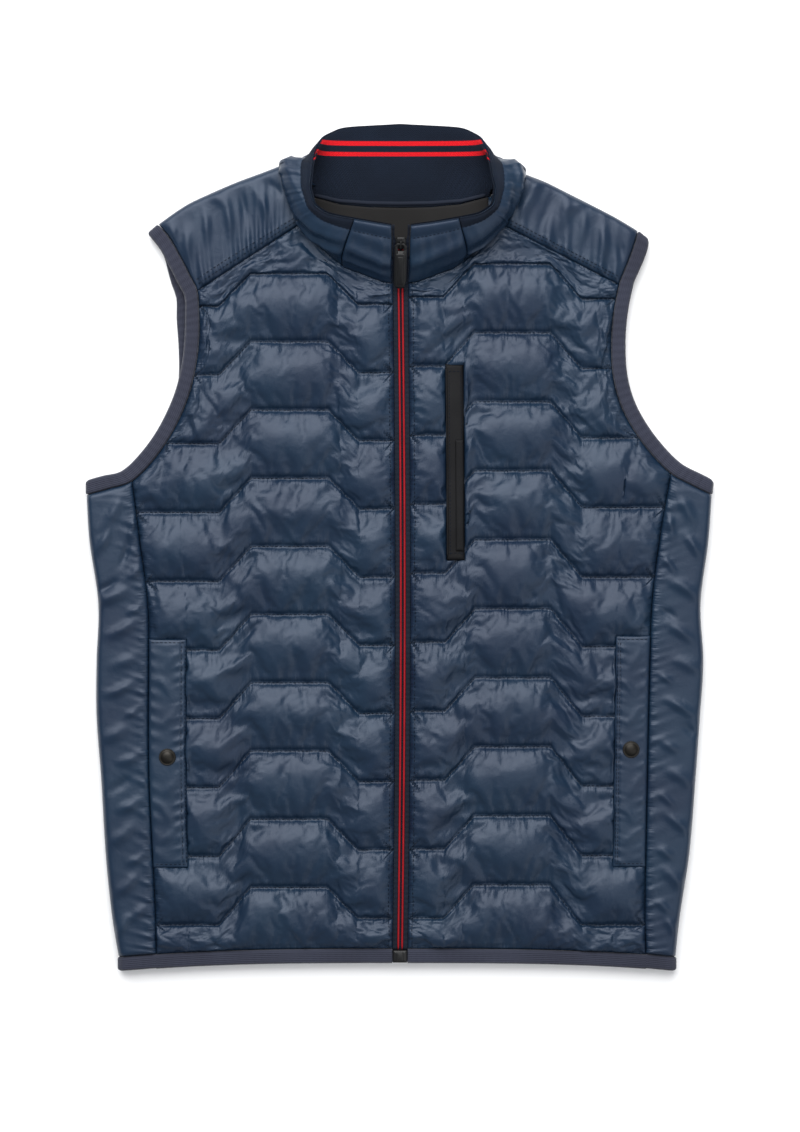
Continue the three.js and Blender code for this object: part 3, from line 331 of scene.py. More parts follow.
# Folds: middle x and y, degrees, half length, half width, height
SIDE_CREASES = {
    "right": creases(
        (-246, 30, 62, 24, 5, 1.3), (-228, 22, 75, 20, 3, 1.1), (-254, 6, 58, 18, 4, 1.2), (-236, -6, 70, 17, 3, -1.0),
        (-228, -22, 40, 14, 4, 1.2), (-247, -42, 22, 24, 5, 1.5), (-252, -34, 30, 15, 3, -1.2),
        (-228, -54, 28, 11, 3, 1.0), (-238, -70, 30, 22, 4.5, 1.4), (-236, -98, 24, 20, 5, 1.0),
        (-240, -122, 26, 20, 4, 1.3), (-230, -142, 34, 12, 3, 0.9), (-244, -160, 30, 18, 5, 1.2),
        (-232, -182, 24, 16, 4, 1.1), (-240, -204, 36, 18, 4, -0.9), (-232, -222, 28, 17, 4, 1.3),
        (-238, -247, 40, 20, 5, 1.2), (-226, -268, 30, 13, 3, 1.0), (-234, -290, 44, 20, 4.5, 1.3),
        (-225, -314, 38, 14, 4, 1.1), (-238, -325, 60, 16, 4, 1.0),
    ),
    "left": creases(
        (246, 34, 118, 22, 5, 1.2), (232, 20, 104, 20, 3.5, 1.1), (252, 2, 122, 18, 4, 1.2), (231, -14, 130, 14, 3, 1.0),
        (244, -34, 150, 24, 5, 1.5), (230, -56, 152, 13, 3, -0.9), (241, -72, 146, 20, 4.5, 1.3),
        (246, -100, 156, 20, 5, 1.1), (228, -112, 148, 11, 3, 1.0), (240, -136, 150, 22, 4, 1.4),
        (250, -158, 140, 14, 4, -0.9), (231, -170, 152, 15, 4, 1.1), (240, -196, 148, 20, 5, 1.2),
        (229, -216, 144, 13, 3, 1.0), (238, -236, 140, 20, 4, 1.3), (228, -262, 146, 13, 4, 1.1),
        (236, -284, 134, 20, 5, 1.3), (226, -308, 140, 13, 3.5, 1.0), (234, -326, 124, 16, 4, 1.0),
    ),
}
YOKE_CREASES = {
    "right": creases(
        (-118, 296, 112, 24, 5, 1.2), (-133, 290, 104, 26, 4, -0.9), (-147, 284, 100, 25, 5, 1.2),
        (-166, 276, 92, 22, 4, 1.0), (-182, 262, 84, 22, 5, 1.1), (-108, 309, 140, 16, 4, -0.8),
        (-156, 300, 150, 16, 5, 0.7), (-196, 268, 70, 15, 4, 0.8),
    ),
    "left": creases(
        (112, 300, 66, 24, 5, 1.2), (128, 292, 74, 26, 4, -0.9), (141, 288, 78, 24, 5, 1.2),
        (158, 276, 84, 22, 4, 1.1), (176, 262, 92, 22, 5, 1.2), (190, 254, 98, 16, 4, -0.8),
        (118, 312, 30, 16, 5, 0.7), (152, 294, 30, 16, 5, 0.8),
    ),
}


# Meshes

def grid_faces(rows: int, columns: int, start: int = 0, ring: bool = False, flip: bool = False) -> Array:
    """Quads between neighbours of a grid of vertices that begins at start.

    Args:
        rows: Rows of vertices.
        columns: Vertices in a row.
        start: Index of the first vertex.
        ring: Whether the last row joins the first.
        flip: Whether the faces look the other way.

    Returns:
        Array of (faces, 4) vertex indices.
    """
    index = np.arange(rows * columns).reshape(rows, columns) + start
    if ring:
        index = np.vstack([index, index[:1]])
    quads = np.stack([index[:-1, :-1], index[:-1, 1:], index[1:, 1:], index[1:, :-1]], -1).reshape(-1, 4)
    return quads[:, ::-1] if flip else quads


def make_object(name: str, points: Array, faces: Array, material: bpy.types.Material, uv: Array | None = None,
                smooth: bool = True) -> bpy.types.Object:
    """A mesh object at the origin.

    Args:
        name: The piece's name.
        points: Vertices in millimetres, (count, 3).
        faces: Vertex indices, (faces, 4), or (faces, 3).
        material: Its only material.
        uv: Coordinates in millimetres for each vertex, (count, 2), kept in metres.
        smooth: Whether its faces are shaded smooth.

    Returns:
        The new object, linked to the scene.
    """
    mesh = bpy.data.meshes.new(name)
    size = faces.shape[1]
    mesh.vertices.add(len(points))
    mesh.vertices.foreach_set("co", (points * MM).astype(np.float32).ravel())
    mesh.loops.add(faces.size)
    mesh.loops.foreach_set("vertex_index", faces.astype(np.int32).ravel())
    mesh.polygons.add(len(faces))
    mesh.polygons.foreach_set("loop_start", np.arange(0, faces.size, size, dtype=np.int32))
    mesh.update(calc_edges=True)
    if uv is not None:
        layer = mesh.uv_layers.new(name="cloth")
        layer.data.foreach_set("uv", (uv * MM)[faces.ravel()].astype(np.float32).ravel())
    mesh.polygons.foreach_set("use_smooth", np.full(len(faces), smooth))
    mesh.materials.append(material)
    made = bpy.data.objects.new(name, mesh)
    bpy.context.scene.collection.objects.link(made)
    return made


def note_sewing(piece: bpy.types.Object, field: Array) -> None:
    """Keep each point's place along its nearest stitching and its distance from it, as a second UV layer.

    Args:
        piece: A wall between two grids.
        field: (rows, columns, 2) in millimetres, kept in metres.
    """
    mesh = piece.data
    index = np.empty(len(mesh.loops), np.int32)
    mesh.loops.foreach_get("vertex_index", index)
    both = np.vstack([field.reshape(-1, 2)] * 2) * MM
    layer = mesh.uv_layers.new(name=SEWING)
    layer.data.foreach_set("uv", both[index].astype(np.float32).ravel())


def signed_volume(points: Array, faces: Array) -> float:
    """Six times the volume that quads close, below zero where they face inwards."""
    a, b, c, d = (points[faces[:, i]] for i in range(4))
    return float((a * np.cross(b, c)).sum() + (a * np.cross(c, d)).sum())


def wall_object(name: str, outer: Array, inner: Array, material: bpy.types.Material, uv: Array | None = None,
                ring: bool = False) -> bpy.types.Object:
    """A closed wall between two grids of points with the same rows and columns.

    Args:
        name: The piece's name.
        outer: (rows, columns, 3) in millimetres.
        inner: The same, on the wall's other face.
        material: Its material.
        uv: (rows, columns, 2) cloth coordinates, or None for lengths along the middle row and column.
        ring: Whether the last row joins the first.

    Returns:
        The new object.
    """
    rows, columns = outer.shape[:2]
    count = rows * columns
    if uv is None:
        uv = lengths(outer)
    at = np.arange(count).reshape(rows, columns)
    quads = [grid_faces(rows, columns, 0, ring), grid_faces(rows, columns, count, ring, True)]
    loops = [(at[:, 0], 1), (at[:, -1], -1)]
    if not ring:
        loops += [(at[0], -1), (at[-1], 1)]
    for loop, way in loops:
        if ring:
            loop = np.append(loop, loop[0])
        strip = np.stack([loop[:-1], loop[1:], loop[1:] + count, loop[:-1] + count], -1)
        quads.append(strip[:, ::way])
    points = np.vstack([outer.reshape(-1, 3), inner.reshape(-1, 3)])
    faces = np.vstack(quads)
    if signed_volume(points, faces) < 0:
        faces = faces[:, ::-1]
    both = np.vstack([uv.reshape(-1, 2)] * 2)
    return make_object(name, points, faces, material, both)


def lengths(grid: Array) -> Array:
    """Cloth coordinates of a grid: lengths along each row and column, averaged over the others."""
    across = np.linalg.norm(np.diff(grid, axis=1), axis=2).mean(0)
    along = np.linalg.norm(np.diff(grid, axis=0), axis=2).mean(1)
    u = np.concatenate([[0], np.cumsum(across)])
    v = np.concatenate([[0], np.cumsum(along)])
    return np.stack(np.meshgrid(u, v), -1)


def outward(grid: Array) -> Array:
    """Unit normals of a grid: the cross product of its differences along columns and rows."""
    normal = np.cross(np.gradient(grid, axis=1), np.gradient(grid, axis=0))
    return normal / np.maximum(np.linalg.norm(normal, axis=2), 1e-9)[..., None]


def settle(name: str, start: Array, pinned: Array, spare: float, push: float, bend: float, frames: int) -> Array:
    """Cloth with spare length that air pushes up between its stitched lines.

    Args:
        name: Name of the temporary object.
        start: (rows, columns, 3) in millimetres, already slightly domed.
        pinned: (rows, columns) true where the cloth is stitched down.
        spare: Share of extra length that the cloth grows by.
        push: Pressure under the cloth.
        bend: Stiffness against bending.
        frames: Steps of the simulation.

    Returns:
        The settled points, in millimetres.
    """
    rows, columns = start.shape[:2]
    material = bpy.data.materials.new("temporary")
    faces_down = start[0, -1, 0] < start[0, 0, 0]
    sheet = make_object(name, start.reshape(-1, 3), grid_faces(rows, columns, flip=faces_down), material)
    group = sheet.vertex_groups.new(name="stitched")
    group.add(np.flatnonzero(pinned.ravel()).tolist(), 1.0, "REPLACE")
    cloth = sheet.modifiers.new("cloth", "CLOTH")
    cloth.settings.quality = 4
    cloth.settings.mass = 0.1
    cloth.settings.shrink_min = -spare
    cloth.settings.tension_stiffness = 15
    cloth.settings.compression_stiffness = 15
    cloth.settings.shear_stiffness = 5
    cloth.settings.bending_stiffness = bend
    cloth.settings.vertex_group_mass = group.name
    cloth.settings.use_pressure = True
    cloth.settings.uniform_pressure_force = push
    cloth.settings.effector_weights.gravity = 0
    cloth.collision_settings.use_collision = False
    cloth.collision_settings.use_self_collision = False
    cloth.point_cache.frame_start = 1
    cloth.point_cache.frame_end = frames
    for step in range(1, frames + 1):
        bpy.context.scene.frame_set(step)
    seen = sheet.evaluated_get(bpy.context.evaluated_depsgraph_get()).to_mesh()
    settled = np.empty(rows * columns * 3, np.float32)
    seen.vertices.foreach_get("co", settled)
    bpy.data.objects.remove(sheet, do_unlink=True)
    bpy.data.materials.remove(material)
    bpy.context.scene.frame_set(1)
    return settled.reshape(rows, columns, 3).astype(float) / MM


# Materials

def linear(colour: str) -> tuple[float, float, float, float]:
    """An sRGB hex colour as linear red, green, blue and full alpha."""
    srgb = np.array([int(colour[i:i + 2], 16) / 255 for i in (1, 3, 5)])
    value = np.where(srgb <= 0.04045, srgb / 12.92, ((srgb + 0.055) / 1.055) ** 2.4)
    return (*value.tolist(), 1.0)


def add_node(tree: bpy.types.NodeTree, kind: str, values: dict | None = None, links: dict | None = None,
             **settings: object) -> bpy.types.Node:
    """Add a node to a tree.

    Args:
        tree: The node tree.
        kind: The node's type name.
        values: Values for its sockets, by name or index.
        links: Sockets that feed its sockets, by name or index.
        settings: Properties of the node itself.

    Returns:
        The new node.
    """
    made = tree.nodes.new(kind)
    for key, value in settings.items():
        setattr(made, key, value)
    for key, value in (values or {}).items():
        made.inputs[key].default_value = value
    for key, source in (links or {}).items():
        tree.links.new(source, made.inputs[key])
    return made


class Weave(Enum):
    """How a cloth's surface is made."""

    PLAIN = "plain weave"
    RIB = "narrow ribs along the cloth"
    KNIT = "columns of V stitches"
    SMOOTH = "no threads"


@dataclass(frozen=True)
class Finish:
    """One finish: its common name, colours, gloss, threads and clouding."""

    name: str
    colour: str
    shade: str
    roughness: float
    weave: Weave = Weave.PLAIN
    pitch_mm: float = 0.8
    relief_mm: float = 0.05
    cloud_mm: float = 60.0
    sheen: float = 0.0
    sheen_tint: str = "#ffffff"
    specular: float = 0.5
    specular_tint: str = "#ffffff"
    metallic: float = 0.0
    crinkle_mm: float = 0.0
    pucker_mm: float = 1.4
    bands: tuple[tuple[float, float, str], ...] = ()
    bands_above_mm: float = 0.0

    def build(self) -> bpy.types.Material:
        """The node material: clouded colour, thread relief and uneven gloss on a Principled shader."""
        material = bpy.data.materials.new(self.name)
        material.use_nodes = True
        tree = material.node_tree
        tree.nodes.clear()
        place = add_node(tree, "ShaderNodeTexCoord")
        cloud = add_node(tree, "ShaderNodeTexNoise", {"Scale": 1 / (self.cloud_mm * MM), "Detail": 3.0},
                         {"Vector": place.outputs["Object"]})
        spread = add_node(tree, "ShaderNodeMapRange", {"From Min": 0.35, "From Max": 0.65},
                          {"Value": cloud.outputs["Fac"]})
        colour = add_node(tree, "ShaderNodeMix", {"A": linear(self.colour), "B": linear(self.shade)},
                          {"Factor": spread.outputs["Result"]}, data_type="RGBA")
        base = colour.outputs["Result"]
        base = self.banded(tree, place, base)
        height = self.threads(tree, place)
        normal = None
        if height is not None:
            bump = add_node(tree, "ShaderNodeBump", {"Strength": 1.0, "Distance": self.relief_mm * MM},
                            {"Height": height})
            normal = bump.outputs["Normal"]
        if self.crinkle_mm > 0:
            normal = self.crinkled(tree, place, normal)
        gloss = add_node(tree, "ShaderNodeMapRange",
                         {"To Min": max(self.roughness - 0.07, 0.05), "To Max": min(self.roughness + 0.07, 1.0)},
                         {"Value": cloud.outputs["Fac"]})
        shader = add_node(
            tree,
            "ShaderNodeBsdfPrincipled",
            {
                "Metallic": self.metallic,
                "Specular IOR Level": self.specular,
                "Specular Tint": linear(self.specular_tint),
                "Sheen Weight": self.sheen,
                "Sheen Roughness": 0.45,
                "Sheen Tint": linear(self.sheen_tint),
            },
            {"Base Color": base, "Roughness": gloss.outputs["Result"]},
        )
        if normal is not None:
            tree.links.new(normal, shader.inputs["Normal"])
        add_node(tree, "ShaderNodeOutputMaterial", links={"Surface": shader.outputs["BSDF"]})
        return material

    def banded(self, tree: bpy.types.NodeTree, place: bpy.types.Node, base: bpy.types.NodeSocket,
               ) -> bpy.types.NodeSocket:
        """Lay coloured bands over the base, each from one distance to another along the cloth's v.

        They show only above a height on the vest, so that none glints through the seams at the front.
        """
        if not self.bands:
            return base
        split = add_node(tree, "ShaderNodeSeparateXYZ", links={"Vector": place.outputs["UV"]})
        spot = add_node(tree, "ShaderNodeSeparateXYZ", links={"Vector": place.outputs["Object"]})
        behind = add_node(tree, "ShaderNodeMath", {1: self.bands_above_mm * MM}, {0: spot.outputs["Y"]},
                          operation="GREATER_THAN")
        for low, high, colour in self.bands:
            above = add_node(tree, "ShaderNodeMath", {1: low * MM}, {0: split.outputs["Y"]},
                             operation="GREATER_THAN")
            below = add_node(tree, "ShaderNodeMath", {1: high * MM}, {0: split.outputs["Y"]}, operation="LESS_THAN")
            within = add_node(tree, "ShaderNodeMath", links={0: above.outputs[0], 1: below.outputs[0]},
                              operation="MULTIPLY")
            inside = add_node(tree, "ShaderNodeMath", links={0: within.outputs[0], 1: behind.outputs[0]},
                              operation="MULTIPLY")
            mix = add_node(tree, "ShaderNodeMix", {"B": linear(colour)},
                           {"Factor": inside.outputs[0], "A": base}, data_type="RGBA")
            base = mix.outputs["Result"]
        return base

    def threads(self, tree: bpy.types.NodeTree, place: bpy.types.Node) -> bpy.types.NodeSocket | None:
        """Height of the threads: waves along u and v, or V stitches, with a period of the pitch."""
        if self.weave is Weave.SMOOTH:
            return None
        turns = 2 * np.pi / (self.pitch_mm * MM)
        split = add_node(tree, "ShaderNodeSeparateXYZ", links={"Vector": place.outputs["UV"]})
        if self.weave is Weave.KNIT:
            column = add_node(tree, "ShaderNodeMath", {1: self.pitch_mm * MM}, {0: split.outputs["X"]},
                              operation="PINGPONG")
            slant = add_node(tree, "ShaderNodeMath", {1: 1.3}, {0: column.outputs[0]}, operation="MULTIPLY")
            along = add_node(tree, "ShaderNodeMath", links={0: split.outputs["Y"], 1: slant.outputs[0]},
                             operation="ADD")
            phase = add_node(tree, "ShaderNodeMath", {1: turns}, {0: along.outputs[0]}, operation="MULTIPLY")
            return add_node(tree, "ShaderNodeMath", links={0: phase.outputs[0]}, operation="SINE").outputs[0]
        waves = []
        for axis, stretch in (("X", 1.0), ("Y", 0.25 if self.weave is Weave.RIB else 1.0)):
            phase = add_node(tree, "ShaderNodeMath", {1: turns * stretch}, {0: split.outputs[axis]},
                             operation="MULTIPLY")
            waves.append(add_node(tree, "ShaderNodeMath", links={0: phase.outputs[0]}, operation="SINE").outputs[0])
        way = "ADD" if self.weave is Weave.RIB else "MULTIPLY"
        return add_node(tree, "ShaderNodeMath", links={0: waves[0], 1: waves[1]}, operation=way).outputs[0]

    def crinkled(self, tree: bpy.types.NodeTree, place: bpy.types.Node,
                 normal: bpy.types.NodeSocket | None) -> bpy.types.NodeSocket:
        """Small soft crinkles of thin cloth over padding, below what the mesh holds."""
        noise = add_node(tree, "ShaderNodeTexNoise", {"Scale": 1 / (14 * MM), "Detail": 4.0, "Distortion": 0.6},
                         {"Vector": place.outputs["Object"]})
        links = {"Height": noise.outputs["Fac"]}
        if normal is not None:
            links["Normal"] = normal
        bump = add_node(tree, "ShaderNodeBump", {"Strength": 1.0, "Distance": self.crinkle_mm * MM}, links)
        return self.puckered(tree, bump.outputs["Normal"])

    def puckered(self, tree: bpy.types.NodeTree, normal: bpy.types.NodeSocket) -> bpy.types.NodeSocket:
        """Tiny puckers about 3 mm apart that run square to a line of stitching and fade over 11 mm."""
        sewing = add_node(tree, "ShaderNodeUVMap", uv_map=SEWING)
        stretched = add_node(tree, "ShaderNodeMapping", {"Scale": (1 / (3.2 * MM), 1 / (26 * MM), 1.0)},
                             {"Vector": sewing.outputs["UV"]})
        noise = add_node(tree, "ShaderNodeTexNoise", {"Scale": 1.0, "Detail": 2.0, "Distortion": 0.3},
                         {"Vector": stretched.outputs["Vector"]})
        split = add_node(tree, "ShaderNodeSeparateXYZ", links={"Vector": sewing.outputs["UV"]})
        near = add_node(tree, "ShaderNodeMapRange", {"From Max": 11 * MM, "To Min": 1.0, "To Max": 0.0},
                        {"Value": split.outputs["Y"]}, interpolation_type="SMOOTHSTEP")
        height = add_node(tree, "ShaderNodeMath", links={0: noise.outputs["Fac"], 1: near.outputs["Result"]},
                          operation="MULTIPLY")
        bump = add_node(tree, "ShaderNodeBump", {"Strength": 1.0, "Distance": self.pucker_mm * MM},
                        {"Height": height.outputs[0], "Normal": normal})
        return bump.outputs["Normal"]


# Calendered nylon: fine plain weave pressed smooth, so it has a satin gloss that follows every pucker
SHELL = Finish("calendered nylon, navy", "#15283b", "#112135", 0.36, pitch_mm=0.9, relief_mm=0.02,
               sheen=0.03, sheen_tint="#8fa3bd", specular=0.42, specular_tint="#e2eafa", crinkle_mm=0.5)
# Folded elastic binding: matte, with fine ribs across its length
RIB = Finish("ribbed elastic binding, slate", "#272b3c", "#212434", 0.85, Weave.RIB, 1.6, 0.16, sheen=0.15)
# Brushed knit inside the collar, with two red stripes knitted in
KNIT = Finish("brushed rib knit, dark navy", "#0f1a2a", "#0b1422", 0.95, Weave.KNIT, 1.9, 0.25, sheen=0.06, specular=0.25,
              sheen_tint="#5a6a86", bands=((-19.2, -15.2, "#d8141f"), (-28.2, -24.6, "#d8141f")), bands_above_mm=290.0)
NECK_TAPE = Finish("twill tape, dark navy", "#141c2b", "#111825", 0.85, Weave.RIB, 1.2, 0.1, specular=0.3)
LINING = Finish("taffeta lining, charcoal", "#1a1919", "#151414", 0.85, pitch_mm=0.9, relief_mm=0.04, specular=0.3)
TAPE = Finish("woven zip tape, dark navy", "#141b29", "#101621", 0.85, Weave.RIB, 1.1, 0.12, specular=0.25)
STRIP = Finish("coated tape, black", "#101012", "#0c0c0e", 0.62, Weave.PLAIN, 1.0, 0.04, cloud_mm=25, specular=0.16)
TRIM = Finish("moulded zinc with matte black paint", "#0f1012", "#0c0d0e", 0.42, specular=0.35, weave=Weave.SMOOTH, cloud_mm=12)
GUNMETAL = Finish("plated brass, gunmetal", "#34322f", "#2a2927", 0.46, Weave.SMOOTH, metallic=1.0, cloud_mm=6)
# Navy thread, partly its own colour and partly painted shade: darker than the shell so the stitch rows read as the
# shaded grooves they sit in
THREAD_WITH_PAINTED_SHADE = Finish("polyester thread, navy", "#0f1725", "#0c131f", 0.9, Weave.SMOOTH, specular=0.15, cloud_mm=8)
RED_CORD = Finish("woven coil cover, red", "#96101a", "#860d16", 0.6, Weave.RIB, 1.2, 0.12, cloud_mm=20, specular=0.2)
FLOOR = Finish("painted board, near white", "#fdfdfd", "#fbfbfb", 0.9, Weave.SMOOTH, cloud_mm=900)


class Finishes:
    """Every material, built once and asked for by its finish."""

    def __init__(self) -> None:
        """Start with none built."""
        self.built: dict[str, bpy.types.Material] = {}

    def __getitem__(self, finish: Finish) -> bpy.types.Material:
        """The material of a finish."""
        if finish.name not in self.built:
            self.built[finish.name] = finish.build()
        return self.built[finish.name]


def stand_for(piece: bpy.types.Object, slot: str, *nodes: str, body: str = BODY) -> bpy.types.Object:
    """Let a piece ride on a body and stand for CAD nodes, which are hidden."""
    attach(piece, body)
    if nodes:
        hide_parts(*nodes)
    log.info("%s: %d faces", piece.name, len(piece.data.polygons))
    return piece


def cut_of(width: float, length: float) -> None:
    """Work out a thin piece's cut, in millimetres, and keep none of it. A narrow tape is cut wide enough to be sewn
    under.
    """
    wide = max(float(width), 10.5)
    shown = float(width * length)
    None if wide == width else shown * MM * MM


@dataclass
class QuiltedFront:
    """One quilted front: a grid of quilt rows and shares of the way from the zip to the outer edge."""

    side: Side
    puff: float = 6.4
    spacing: float = 1.9
    channel_rows: int = 30
    columns: int = 112
    spare: float = 0.042
    push: float = 7.0
    bend: float = 0.35
    groove: float = 2.3
    steps: int = 16
    pocket_rows: tuple[float, float] = (1.84, 5.16)
    pocket_share: float = 0.48
    strip: tuple[float, float] = (37.3, 53.7)
    knots: tuple[float, ...] = (0.0, 0.15, 0.23, 0.84, 1.0)
    strip_y: tuple[float, float] = (-11.0, 157.5)

    def __post_init__(self) -> None:
        """Lay out the plan grid."""
        self.rows = np.linspace(0, LINE_COUNT + 1, (LINE_COUNT + 1) * self.channel_rows + 1)
        self.share = np.unique(np.append(np.linspace(0, 1, self.columns), self.knots))
        self.columns = len(self.share)
        self.edge_x = self.side.outline_x(self.rows)
        self.plan = self.plan_at(self.rows[:, None] + 0 * self.share, self.share + 0 * self.rows[:, None])

    def plan_at(self, row: Array, share: Array) -> Array:
        """Plan points at quilt rows and shares of the way across.

        The knots are the zip, both edges of the chest pocket, the hand pocket's inner edge, and the seam.
        """
        bow = zip_middle(self.side.quilt_y(row, 0 * row))
        inner = self.side.sign * ZIP_HALF_GAP + bow
        edge = np.interp(row, self.rows, self.edge_x) - self.side.sign * SEAM_GAP / 2
        outs = [self.side.sign * out + bow for out in self.strip]
        foot = self.side.sign * RAMP_FOOT + bow
        places = [inner, *outs, lerp(foot, edge, self.pocket_share), edge]
        x = inner
        for i in range(len(self.knots) - 1):
            x = x + (places[i + 1] - places[i]) * ramp(share, self.knots[i], self.knots[i + 1])
        flat_x = x - bow * (1 - np.abs(x) / np.abs(edge))
        inside = np.clip(row, 0.008, LINE_COUNT + 1 - 0.008)
        return np.stack([x, self.side.quilt_y(inside, flat_x)], -1)

    def sewing(self) -> Array:
        """Each point's place along its nearest stitching and its distance from that."""
        phase = (self.rows % 1)[:, None]
        to_line = np.minimum(phase, 1 - phase) * self.side.pitch + 0 * self.share
        x, y = self.plan[..., 0], self.plan[..., 1]
        to_edge = np.minimum(np.abs(x - x[:, :1]), np.abs(x - x[:, -1:]))
        return np.dstack([np.where(to_line < to_edge, x, y), np.minimum(to_line, to_edge)])

    def pocket_mask(self) -> Array:
        """Where the hand pocket's welt lies on the front."""
        low, high = self.pocket_rows
        rows = (self.rows >= low) & (self.rows <= high)
        return rows[:, None] & (self.share >= self.knots[3])

    def strip_mask(self) -> Array:
        """Where the chest pocket's strip lies on the left front."""
        if self.side.sign < 0:
            return np.zeros(self.plan.shape[:2], bool)
        y = self.plan[..., 1]
        across = (self.share >= self.knots[1]) & (self.share <= self.knots[2])
        return across & (y > self.strip_y[0]) & (y < self.strip_y[1])

    def surface(self) -> Array:
        """The outer face: domes between the stitched lines, swollen and puckered as cloth."""
        phase = self.rows % 1
        dome = np.sin(np.pi * phase) ** 0.7
        low_channel = np.where(self.rows >= LINE_COUNT, 0.7, 1.0)
        width = np.abs(self.plan[:, -1, 0] - self.plan[:, 0, 0])
        from_zip = self.share * width[:, None]
        from_edge = (1 - self.share) * width[:, None]
        shut = pillow(from_zip, 14) * pillow(from_edge, 14)
        rise = self.puff * (dome * low_channel)[:, None] * shut
        under = self.pocket_mask() | self.strip_mask()
        rise = np.where(under, 0, rise)
        on_line = np.isclose(phase, 0) | np.isclose(phase, 1)
        pinned = on_line[:, None] | under
        pinned[:, [0, -1]] = True
        pinned[[0, -1]] = True
        random = np.random.default_rng(11 + self.side.sign)
        ruffle = random.normal(0, 0.08, rise.shape) * (rise > 0.5)
        start = np.dstack([self.plan, SEAM_TOP - SEAM_SINK + rise + ruffle])
        settled = settle(f"front_{self.side.name}_cloth", start, pinned, self.spare, self.push, self.bend, self.steps)
        low, high = SEAM_TOP - SEAM_SINK - 0.4, SEAM_TOP + 10.5
        settled[..., 2] += self.gathered(rows_mm=self.side.pitch) * ~pinned
        settled[..., 2] = np.clip(settled[..., 2], low, high)
        return self.sewn(settled, on_line, under)

    def sewn(self, points: Array, on_line: Array, under: Array) -> Array:
        """Sink the stitched rows, and the rows beside them a little, where no pocket lies on them."""
        beside = np.roll(on_line, 1) | np.roll(on_line, -1)
        depth = self.groove * (on_line + 0.5 * beside)
        depth[[0, -1]] = 0
        edge = pillow(self.share * 200, 5) * pillow((1 - self.share) * 200, 5)
        points[..., 2] -= depth[:, None] * edge * ~under
        return points

    def gathered(self, rows_mm: float) -> Array:
        """Fine gathers where the thread draws each line in: they slant and fade away from the line.

        Below a line they are longer than above it. Gathers also run in from the zip's stitching.
        """
        phase = (self.rows % 1)[:, None]
        channel = np.minimum(self.rows.astype(int), LINE_COUNT)
        under, over = (1 - phase) * rows_mm, phase * rows_mm
        total = np.zeros(self.plan.shape[:2])
        for number in range(LINE_COUNT + 1):
            here = channel == number
            x = self.plan[here, :, 0]
            slant = 0.35 * np.sin(1.7 * number + x / 60)
            top = gathers(100 * number + 7 + self.side.sign, x + slant * under[here])
            foot = gathers(100 * number + 57 + self.side.sign, x - slant * over[here])
            total[here] = 0.78 * top * np.exp(-under[here] / 11) + 0.4 * foot * np.exp(-over[here] / 9)
        near = np.minimum(under, over)
        total *= 1 - np.exp(-near / 1.6)
        from_zip = np.abs(self.plan[..., 0] - self.plan[:, :1, 0])
        zip_side = gathers(3 + self.side.sign, self.plan[..., 1] + 0.3 * from_zip, 5, 12)
        from_edge = np.abs(self.plan[..., 0] - self.plan[:, -1:, 0])
        seam_side = gathers(9 + self.side.sign, self.plan[..., 1] - 0.2 * from_edge, 6, 14)
        total += 0.6 * zip_side * np.exp(-from_zip / 10) * (1 - np.exp(-from_zip / 1.5))
        return total + 0.55 * seam_side * np.exp(-from_edge / 9) * (1 - np.exp(-from_edge / 1.5))

    def build(self, finishes: Finishes) -> bpy.types.Object:
        """Make the front as a closed padded wall."""
        outer = self.surface()
        inner = np.dstack([self.plan, np.full(self.plan.shape[:2], FRONT_INSIDE)])
        self.outer = outer
        name = f"front_panel_{self.side.name}"
        piece = wall_object(f"quilted_{name}", outer, inner, finishes[SHELL], self.plan)
        note_sewing(piece, self.sewing())
        return stand_for(piece, "shell", name)


